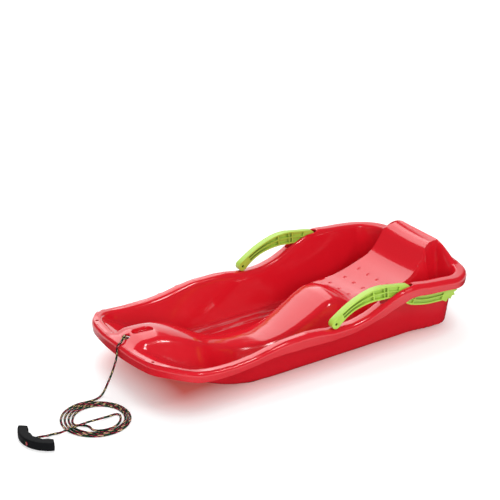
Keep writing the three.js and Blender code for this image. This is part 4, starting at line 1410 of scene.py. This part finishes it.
class StrandColour(Enum):
    """Colours of the yarns in the braid."""

    BLACK = (0.008, 0.007, 0.009)
    RED = (0.5, 0.02, 0.05)
    PINK = (0.75, 0.27, 0.27)
    GREEN = (0.01, 0.16, 0.06)
    CREAM = (0.85, 0.66, 0.3)


@dataclass
class TowRope:
    """Braided rope from the knot under the deck, through its coil, to the handle."""

    diameter: float = 5
    rest: float = 2.8
    coil_centre: Pair = (87.8, -546.1)
    coil_outer: float = 78.2
    coil_pitch: float = 7
    coil_drift: Pair = (0.84, 1.24)
    coil_start_degrees: float = 165
    coil_turns: float = 3.2
    coil_steps: int = 24
    start: Place = (0, -415.5, 124.35)
    lead: tuple[Place, ...] = (
        (0, -415.5, 125.72), (1.7, -418.1, 131.3), (4.9, -422.7, 133.8), (8.9, -428, 132.4),
        (12.6, -432.6, 128.9), (15.2, -437.8, 125.8), (16.3, -442.8, 123.2), (16.7, -446.6, 119.2),
        (16.5, -448.2, 114.2), (15.6, -448.2, 103.2), (14.6, -449.5, 90), (13.6, -453, 77),
        (12.8, -457, 65), (10.9, -463.6, 47.5), (8.3, -470.8, 29.7), (6.3, -477, 15.5),
        (5.8, -483.5, 6), (8.2, -491.5, 2.8), (11.8, -500, 2.8), (13.5, -508, 2.8))
    tail: tuple[Place, ...] = (
        (79, -597.8, 2.8), (88, -595.3, 2.8), (94.5, -587, 2.8), (102, -578.8, 2.8),
        (112, -575.2, 2.8), (123, -575.5, 2.8), (132, -571, 2.8), (138, -561.5, 2.8),
        (141, -549, 2.8), (141, -535, 2.8), (135.6, -520, 2.8), (126, -508.5, 2.8),
        (114.5, -500, 2.8), (104.5, -495.5, 2.8), (97, -497.5, 2.8), (94.2, -504.5, 2.8),
        (94.8, -514, 3.2), (96, -532, 4.6), (97.8, -552, 6.4), (99.3, -570, 8.4),
        (100.3, -583, 9), (101.3, -597, 9), (102.6, -611, 9), (103.6, -623, 8.9),
        (103.2, -632.5, 7.4), (99.6, -641, 4.6), (95, -649, 2.9), (92.8, -658, 2.8),
        (94, -668, 3.8), (96, -677.5, 6.4))
    curve_steps: int = 12
    least_across: float = 0.1
    ring_gap: float = 1.0
    sides: int = 24
    lay: float = 46
    carriers: int = 6
    relief: float = 0.16
    first_family: tuple[StrandColour, ...] = (
        StrandColour.BLACK, StrandColour.RED, StrandColour.BLACK,
        StrandColour.CREAM, StrandColour.BLACK, StrandColour.GREEN)
    second_family: tuple[StrandColour, ...] = (
        StrandColour.BLACK, StrandColour.BLACK, StrandColour.PINK,
        StrandColour.BLACK, StrandColour.BLACK, StrandColour.BLACK)
    yarn_slack: float = 0.001
    smooth_degrees: float = 70

    def coil(self) -> np.ndarray:
        """Give points on the turns of the coil, from the outside inwards.

        Returns:
            Rows of x, y and z.
        """
        turns = np.arange(round(self.coil_turns * self.coil_steps) + 1) / self.coil_steps
        angle = math.radians(self.coil_start_degrees) + 2 * math.pi * turns
        radius = self.coil_outer - self.coil_pitch * turns
        return np.stack([
            self.coil_centre[0] + self.coil_drift[0] * turns + radius * np.cos(angle),
            self.coil_centre[1] + self.coil_drift[1] * turns + radius * np.sin(angle),
            np.full_like(turns, self.rest)], 1)

    def route(self, end: np.ndarray) -> np.ndarray:
        """Give the rope's centreline at equal steps.

        Args:
            end: Last points of the rope, inside the handle.

        Returns:
            Points in millimetres.
        """
        coil = self.coil()
        before = coil[0] + (coil[0] - coil[1]) / np.linalg.norm(coil[0] - coil[1]) * self.diameter
        after = coil[-1] + (coil[-1] - coil[-2]) / np.linalg.norm(coil[-1] - coil[-2]) * self.diameter
        knots = np.concatenate([[self.start], self.lead, [before], coil, [after], self.tail, end])
        return self.even(self._through(knots))

    def _through(self, knots: np.ndarray) -> np.ndarray:
        """Give a centripetal curve through points.

        Args:
            knots: Rows of x, y and z.

        Returns:
            Points on the curve, close to each other.
        """
        ahead = np.concatenate([[2 * knots[0] - knots[1]], knots, [2 * knots[-1] - knots[-2]]])
        line = []
        for a, b, c, d in zip(ahead[:-3], ahead[1:-2], ahead[2:-1], ahead[3:]):
            t0 = 0.0
            t1 = t0 + np.linalg.norm(b - a) ** 0.5
            t2 = t1 + np.linalg.norm(c - b) ** 0.5
            t3 = t2 + np.linalg.norm(d - c) ** 0.5
            t = np.linspace(t1, t2, self.curve_steps, endpoint=False)[:, None]
            ab, bc, cd = between(t, a, b, t0, t1), between(t, b, c, t1, t2), between(t, c, d, t2, t3)
            line.append(between(t, between(t, ab, bc, t0, t2), between(t, bc, cd, t1, t3), t1, t2))
        return np.concatenate([*line, knots[-1:]])

    def even(self, line: np.ndarray) -> np.ndarray:
        """Give points at equal steps along a line.

        Args:
            line: Rows of x, y and z.

        Returns:
            Rows of x, y and z.
        """
        run = np.concatenate([[0], np.cumsum(np.linalg.norm(np.diff(line, axis=0), axis=1))])
        at = np.linspace(0, run[-1], int(run[-1] / self.ring_gap) + 1)
        return np.stack([np.interp(at, run, line[:, k]) for k in range(3)], 1)

    def _sides(self, line: np.ndarray) -> tuple[np.ndarray, np.ndarray]:
        """Give two directions square to a line that don't twist along it.

        Args:
            line: Points at equal steps.

        Returns:
            Rows of the first and of the second direction.
        """
        ahead = np.gradient(line, axis=0)
        ahead /= np.linalg.norm(ahead, axis=1)[:, None]
        across = np.cross(ahead[0], [0.0, 0.0, 1.0])
        if np.linalg.norm(across) < self.least_across:
            across = np.cross(ahead[0], [0.0, 1.0, 0.0])
        rows = []
        for direction in ahead:
            across = across - direction * np.dot(across, direction)
            across /= np.linalg.norm(across)
            rows.append(across)
        return np.array(rows), np.cross(rows, ahead)

    def build(self, name: str, line: np.ndarray, material: bpy.types.Material) -> Piece:
        """Build the rope's tube along a line.

        Args:
            name: Name of the piece.
            line: Points at equal steps, in millimetres.
            material: The braid's finish.

        Returns:
            The tube with its yarn colours.
        """
        across, up = self._sides(line)
        around = np.arange(self.sides) / self.sides
        along = np.arange(len(line)) * self.ring_gap / self.lay
        first = (around[None, :] + along[:, None]) * self.carriers
        second = (around[None, :] - along[:, None]) * self.carriers
        over = (np.floor(first) + np.floor(second)) % 2 == 0
        lift = np.where(over, np.abs(np.sin(np.pi * first)), np.abs(np.sin(np.pi * second)))
        radius = self.diameter / 2 - self.relief * (1 - lift)
        turn = 2 * np.pi * around[None, :, None]
        points = line[:, None, :] + radius[..., None] * (
            across[:, None, :] * np.cos(turn) + up[:, None, :] * np.sin(turn))
        piece = mesh_piece(name, points.reshape(-1, 3), tube_faces(len(line), self.sides))
        self._colour(piece, first, second, over)
        paint(piece, material)
        smooth(piece, self.smooth_degrees)
        return piece

    def _colour(self, piece: Piece, first: np.ndarray, second: np.ndarray, over: np.ndarray) -> None:
        """Give each face the colour of the yarn that shows there, and the two ends black.

        Args:
            piece: The tube.
            first: Count of the yarns that turn one way, for each point.
            second: Count of the yarns that turn the other way.
            over: Where the first ones lie on top.
        """
        one, two = (np.array([colour.value for colour in family])
                    for family in (self.first_family, self.second_family))
        a, b = (np.floor(count + self.yarn_slack).astype(int) % self.carriers for count in (first, second))
        shade = np.where(over[..., None], one[a], two[b])[:-1].reshape(-1, 3)
        layer = piece.data.attributes.new("strand", "FLOAT_COLOR", "FACE")
        values = np.full((len(piece.data.polygons), 4), 1.0)
        values[:, :3] = StrandColour.BLACK.value
        values[:len(shade), :3] = shade
        layer.data.foreach_set("color", values.ravel())


@dataclass
class TowHandle:
    """Arched black handle with finger scallops, a rope hole and a knot pocket."""

    node: str = "tow_handle"
    centre: Pair = (88.4, -655.2)
    arc: float = 62
    turn_degrees: float = 13.6
    sweep_degrees: float = 98
    thick: float = 20
    bulk: float = 21
    voxel: float = 0.8
    soften: int = 110
    soften_factor: float = 0.5
    bore: float = 3.1
    pocket: float = 7.6
    pocket_depth: float = 9
    scallops: int = 4
    scallop_depth: float = 1.5
    steps: int = 64
    merge_reach: float = 4e-6
    smooth_degrees: float = 40

    @property
    def pocket_floor(self) -> float:
        """Give the distance of the knot's seat from the middle of the arch."""
        return self.arc + self.bulk / 2 - self.pocket_depth

    @property
    def half_sweep(self) -> float:
        """Give half of the arch's angle before the softening draws its ends in."""
        return math.radians(self.sweep_degrees) / 2 + math.asin(self.bulk / 4 / self.arc)

    def on_axis(self, radius: float) -> np.ndarray:
        """Give a point on the rope hole's axis.

        Args:
            radius: Its distance from the middle of the arch.

        Returns:
            Its x, y and z.
        """
        turn = math.radians(self.turn_degrees)
        x, y = self.centre
        return np.array([x + radius * math.sin(turn), y - radius * math.cos(turn), self.thick / 2])

    def rope_end(self) -> np.ndarray:
        """Give the last points of the rope."""
        reaches = (self.arc - self.bulk, self.arc - self.bulk / 2, self.pocket_floor)
        return np.array([self.on_axis(reach) for reach in reaches])

    def build(self, material: bpy.types.Material) -> Piece:
        """Build the handle.

        Args:
            material: The handle's finish.

        Returns:
            The finished handle.
        """
        half = self.half_sweep
        deselect()
        bpy.ops.mesh.primitive_plane_add(size=1, location=(0, 0, 0))
        bar = bpy.context.object
        radial = Vector((math.sin(-half), -math.cos(-half), 0))
        for vertex in bar.data.vertices:
            reach = self.arc + vertex.co.x * self.bulk
            height = self.thick / 2 + vertex.co.y * self.thick
            vertex.co = (radial * reach + Vector((0, 0, height))) * MM
        spin = partial(bpy.ops.mesh.spin, steps=self.steps, angle=-2 * half, center=(0, 0, 0), axis=(0, 0, 1))
        reshape(bar, spin, partial(bpy.ops.mesh.select_all, action="SELECT"), merging(), face_outwards)
        self._scallop(bar)
        apply_modifier(bar, "REMESH", mode="VOXEL", voxel_size=self.voxel * MM)
        apply_modifier(bar, "SMOOTH", factor=self.soften_factor, iterations=self.soften)
        bar.rotation_euler.z = math.radians(self.turn_degrees)
        bar.location = Vector(self.centre).to_3d() * MM
        settle(bar, "tow_handle_grip")
        self._drill(bar)
        reshape(bar, merging(self.merge_reach),
                partial(bpy.ops.mesh.dissolve_degenerate, threshold=self.merge_reach / 2),
                bpy.ops.mesh.delete_loose)
        smooth(bar, self.smooth_degrees)
        paint(bar, material)
        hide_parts(self.node)
        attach(bar, "sled")
        return bar

    def _scallop(self, bar: Piece) -> None:
        """Swell the hollow side between the fingers.

        Args:
            bar: The arched bar, round the origin.
        """
        for vertex in bar.data.vertices:
            reach = math.hypot(vertex.co.x, vertex.co.y) / MM
            if reach < self.arc:
                turn = math.atan2(vertex.co.x, -vertex.co.y)
                wave = 1 - math.cos(2 * math.pi * self.scallops * (turn / self.half_sweep / 2 + 0.5))
                scale = (reach - self.scallop_depth * wave) / reach
                vertex.co.x *= scale
                vertex.co.y *= scale

    def _drill(self, bar: Piece) -> None:
        """Cut the rope's hole and the knot's pocket.

        Args:
            bar: The bar in its place.
        """
        far = 2 * self.arc
        turn = (math.pi / 2, 0, math.radians(self.turn_degrees))
        for radius, near in ((self.bore, 0), (self.pocket, self.pocket_floor)):
            tool = round_bar(radius, far - near, tuple(self.on_axis((near + far) / 2)), turn)
            combine(bar, [tool], "DIFFERENCE")


@dataclass
class StopperKnot:
    """Barrel knot: a few turns of the rope round itself.

    The rope is drawn a little thinner in it. It winds from one end to the other, where its turns close in,
    and goes back through the middle.
    """

    node: str
    name: str
    centre: np.ndarray
    axis: np.ndarray
    radius: float
    length: float
    rope_share: float = 0.92
    turn_share: float = 0.98
    least_turns: float = 1.6
    turn_steps: int = 40
    pinch: float = 0.15
    pinch_power: int = 6
    least_core_share: float = 0.05
    ring_gap: float = 0.7
    relief: float = 0.12
    side_hint: Place = (0.37, 0.2, 0.91)

    def build(self, rope: TowRope, material: bpy.types.Material) -> Piece:
        """Build the knot from the rope itself.

        Args:
            rope: The rope that is knotted.
            material: The braid's finish.

        Returns:
            The finished knot.
        """
        axis = self.axis / np.linalg.norm(self.axis)
        side = np.cross(axis, self.side_hint)
        side /= np.linalg.norm(side)
        other = np.cross(axis, side)
        thick = rope.diameter * self.rope_share
        ring = self.radius - thick / 2
        run = self.length - thick
        turns = max(self.least_turns, run / thick * self.turn_share)
        at = np.linspace(0, 1, int(turns * self.turn_steps))
        height = (at - 0.5) * run
        close = ring * (1 - self.pinch * np.abs(2 * at - 1) ** self.pinch_power)
        core = max(ring - thick, self.least_core_share * thick / 2)
        inwards = core + (close[-1] - core) * (1 - ease(at * turns * 2))
        turn = 2 * math.pi * turns * np.concatenate([at, 1 + at])
        height = np.concatenate([height, height[::-1]])
        reach = np.concatenate([close, inwards])
        line = (self.centre + height[:, None] * axis + reach[:, None] * (
            np.cos(turn)[:, None] * side + np.sin(turn)[:, None] * other))
        inner = TowRope(diameter=thick, ring_gap=self.ring_gap, relief=self.relief)
        piece = inner.build(self.name, inner.even(line), material)
        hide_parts(self.node)
        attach(piece, "sled")
        return piece


@dataclass
class TowLine:
    """Whole tow line: the rope with its two knots and the handle."""

    rope: TowRope = field(default_factory=TowRope)
    handle: TowHandle = field(default_factory=TowHandle)
    deck_knot_drop: float = 7.0
    deck_knot_radius: float = 10.4
    deck_knot_length: float = 14.2
    handle_knot_rise: float = 5.3
    handle_knot_radius: float = 7.0
    handle_knot_length: float = 10.0

    def build(self) -> Piece:
        """Build the line's pieces: the rope, its two knots and the handle.

        Returns:
            The rope.
        """
        rope, handle = self.rope, self.handle
        braid = BraidedCord().material()
        line = rope.route(handle.rope_end())
        cord = rope.build("tow_rope", line, braid)
        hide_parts("tow_rope_lead", "tow_rope_coil", "tow_rope_tail")
        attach(cord, "sled")
        start, up = np.array(rope.start), np.array([0.0, 0.0, 1.0])
        deck_knot = StopperKnot(
            "tow_rope_deck_knot", "deck_stopper_knot", start - up * self.deck_knot_drop, up,
            self.deck_knot_radius, self.deck_knot_length).build(rope, braid)
        out = handle.on_axis(handle.arc + 1) - handle.on_axis(handle.arc)
        seat = handle.on_axis(handle.pocket_floor + self.handle_knot_rise)
        handle_knot = StopperKnot(
            "tow_rope_handle_knot", "handle_stopper_knot", seat, out,
            self.handle_knot_radius, self.handle_knot_length).build(rope, braid)
        LOG.info("two stopper knots")
        grip = handle.build(HANDLE_BLACK.material())
        LOG.info("handle")
        return cord


# Studio


def outside(nodes: Nodes, half: Place) -> Socket:
    """Give the distance on the floor outside a rectangle round the origin.

    Args:
        nodes: The tree of the floor's material.
        half: Half of the rectangle's width and length in metres, and 0.

    Returns:
        The distance in metres, 0 inside.
    """
    past = nodes.vector("SUBTRACT", nodes.vector("ABSOLUTE", nodes.place()), half)
    return nodes.measure("LENGTH", nodes.vector("MAXIMUM", past, (0, 0, 0)))


@dataclass(frozen=True)
class PaleFloor:
    """Pale floor that shows white to the camera and keeps the shadow.

    Painted bounce light tints its colour and glow red close round the sled. In mirror images a painted shadow
    makes it near black round the sled.
    """

    name: str = "pale_floor"
    pale: float = 0.8
    roughness: float = 0.6
    shine: float = 0.2
    lift: Pair = (0.4, 1.0)
    far_span: Pair = (1.0, 4.0)
    mirror_lift: float = 0.24
    painted_bounce_reach: float = 0.125
    painted_bounce_colour: Colour = (0.6, 0.13, 0.11)
    painted_bounce_place: Place = (0.09, 0.32, 0.0)
    # The footprint, shade span and shade set the painted shadow that mirror images show round the sled.
    footprint: Place = (0.15, 0.58, 0.0)
    shade_span: Pair = (0.05, 0.22)
    shade: float = 0.06

    def material(self) -> bpy.types.Material:
        """Build the material.

        Returns:
            The material with its nodes.
        """
        made = bpy.data.materials.new(self.name)
        nodes = Nodes(made)
        path = nodes.add("LightPath").outputs
        glossy = path["Is Glossy Ray"]
        away = outside(nodes, self.footprint)
        # Painted bounce light: a red tint that fades out within a reach of a rectangle under the sled.
        near = nodes.ramp(outside(nodes, self.painted_bounce_place), (0.0, self.painted_bounce_reach), (1.0, 0.0))
        seen = nodes.math("MULTIPLY", path["Is Camera Ray"], nodes.ramp(away, self.far_span, self.lift))
        shown = nodes.math("MAXIMUM", seen, nodes.ramp(glossy, UNIT, (0.0, self.mirror_lift)))
        # Painted shadow: glossy rays see the floor near black close round the sled, without its glow.
        clear = nodes.ramp(away, self.shade_span)
        free_of_painted_shadow = nodes.math("MAXIMUM", clear, nodes.ramp(glossy, UNIT, (1.0, 0.0)))
        # The painted bounce tints the base colour here and the glow below.
        lit = nodes.blend(near, (self.pale,) * 3, self.painted_bounce_colour)
        nodes.finish(nodes.add(
            "BsdfPrincipled", Base_Color=nodes.blend(free_of_painted_shadow, (self.shade,) * 3, lit),
            Roughness=self.roughness, Specular_IOR_Level=self.shine,
            Emission_Color=nodes.blend(near, (1.0, 1.0, 1.0), self.painted_bounce_colour),
            Emission_Strength=nodes.math("MULTIPLY", shown, free_of_painted_shadow)))
        return made


@dataclass(frozen=True)
class Lamp:
    """Rectangular soft lamp that looks at the sled."""

    name: str
    place: Place
    size: Pair
    level: float
    mirrored: bool
    aim: Place = (0, 0, 0.1)

    def hang(self) -> None:
        """Hang the lamp, with the brightness of its face set by its level."""
        data = bpy.data.lights.new(self.name, "AREA")
        data.shape = "RECTANGLE"
        data.size, data.size_y = self.size
        data.energy = self.level * math.pi * self.size[0] * self.size[1]
        lamp = bpy.data.objects.new(self.name, data)
        bpy.context.collection.objects.link(lamp)
        lamp.location = self.place
        lamp.rotation_euler = (Vector(self.aim) - Vector(self.place)).to_track_quat("-Z", "Y").to_euler()
        lamp.visible_camera = False
        lamp.visible_glossy = self.mirrored


@dataclass
class Studio:
    """Pale floor, soft lamps, backdrop and the camera."""

    azimuth: float = 55.75
    elevation: float = 24.34
    distance: float = 4.543
    target: Place = (-0.4642, 0.2345, 0.0)
    focal_pixels: float = 1714
    frame_pixels: float = 500
    sensor: float = 36.0
    clip_end: float = 100.0
    floor_size: float = 40.0
    ambient: float = 0.5
    wall_azimuth: float = 295
    wall_half_degrees: float = 27
    wall_fade: float = 0.08
    wall_heights: Pair = (0.4, 0.46)
    mirror_levels: Pair = (0.08, 1.1)
    lamps: tuple[Lamp, ...] = (
        Lamp("back_lamp", (-2.21, 0.43, 2.68), (3.4, 3.2), 2.3, True),
        Lamp("top_lamp", (0.1, -0.2, 2.6), (2.0, 2.0), 0.6, False),
        Lamp("fill_lamp", (3.0, -1.6, 1.5), (2.4, 1.1), 6.4, False),
        Lamp("side_spark", (2.1, 0.93, 1.93), (0.36, 0.36), 22.0, True))

    def camera(self) -> None:
        """Place the camera at the photograph's viewing angle."""
        a, e = math.radians(self.azimuth), math.radians(self.elevation)
        back = Vector((math.sin(a) * math.cos(e), -math.cos(a) * math.cos(e), math.sin(e)))
        data = bpy.data.cameras.new("camera")
        data.sensor_width = self.sensor
        data.lens = self.sensor * self.focal_pixels / self.frame_pixels
        data.clip_end = self.clip_end
        camera = bpy.data.objects.new("camera", data)
        bpy.context.collection.objects.link(camera)
        camera.location = Vector(self.target) + back * self.distance
        camera.rotation_euler = (-back).to_track_quat("-Z", "Y").to_euler()
        bpy.context.scene.camera = camera

    def floor(self) -> None:
        """Lay the floor."""
        deselect()
        bpy.ops.mesh.primitive_plane_add(size=self.floor_size)
        floor = bpy.context.object
        floor.name = "floor"
        paint(floor, PaleFloor().material())

    def world(self) -> None:
        """Surround the sled with a white backdrop that is dim overhead and on the camera's side.

        Camera rays see white all round. Reflections see the white wall behind and to the right
        of the sled, and a dim studio elsewhere.
        """
        world = bpy.data.worlds.new("studio")
        bpy.context.scene.world = world
        nodes = Nodes(world)
        path = nodes.add("LightPath").outputs
        direction = nodes.add("TexCoord").outputs["Generated"]
        height = nodes.add("SeparateXYZ", Vector=direction).outputs["Z"]
        flat = nodes.vector("NORMALIZE", nodes.vector("MULTIPLY", direction, (1.0, 1.0, 0.0)))
        a = math.radians(self.wall_azimuth)
        facing = nodes.measure("DOT_PRODUCT", flat, (math.sin(a), math.cos(a), 0.0))
        edge = math.cos(math.radians(self.wall_half_degrees))
        behind = nodes.ramp(facing, (edge - self.wall_fade, edge + self.wall_fade))
        lit = nodes.math("MULTIPLY", behind, nodes.ramp(height, self.wall_heights, (1.0, 0.0)))
        mirrored = nodes.math("MAXIMUM", path["Is Glossy Ray"], path["Is Transmission Ray"])
        soft = nodes.ramp(path["Is Camera Ray"], UNIT, (self.ambient, 1.0))
        strength = nodes.blend(mirrored, soft, nodes.ramp(lit, UNIT, self.mirror_levels))
        nodes.finish(nodes.add("Background", Color=(1, 1, 1, 1), Strength=strength))

    def build(self) -> None:
        """Set up everything around the sled."""
        self.floor()
        self.world()
        for lamp in self.lamps:
            lamp.hang()
        bpy.context.scene.view_settings.view_transform = "Standard"


def main() -> None:
    """Build every piece in order and report it."""
    logging.basicConfig(level=logging.INFO, format="%(name)s: %(message)s")
    studio = Studio()
    studio.camera()
    TowLine().build()
    Hull().build()
    LOG.info("hull")
    Brakes().build()
    studio.build()
    LOG.info("studio")


if __name__ == "__main__":
    main()
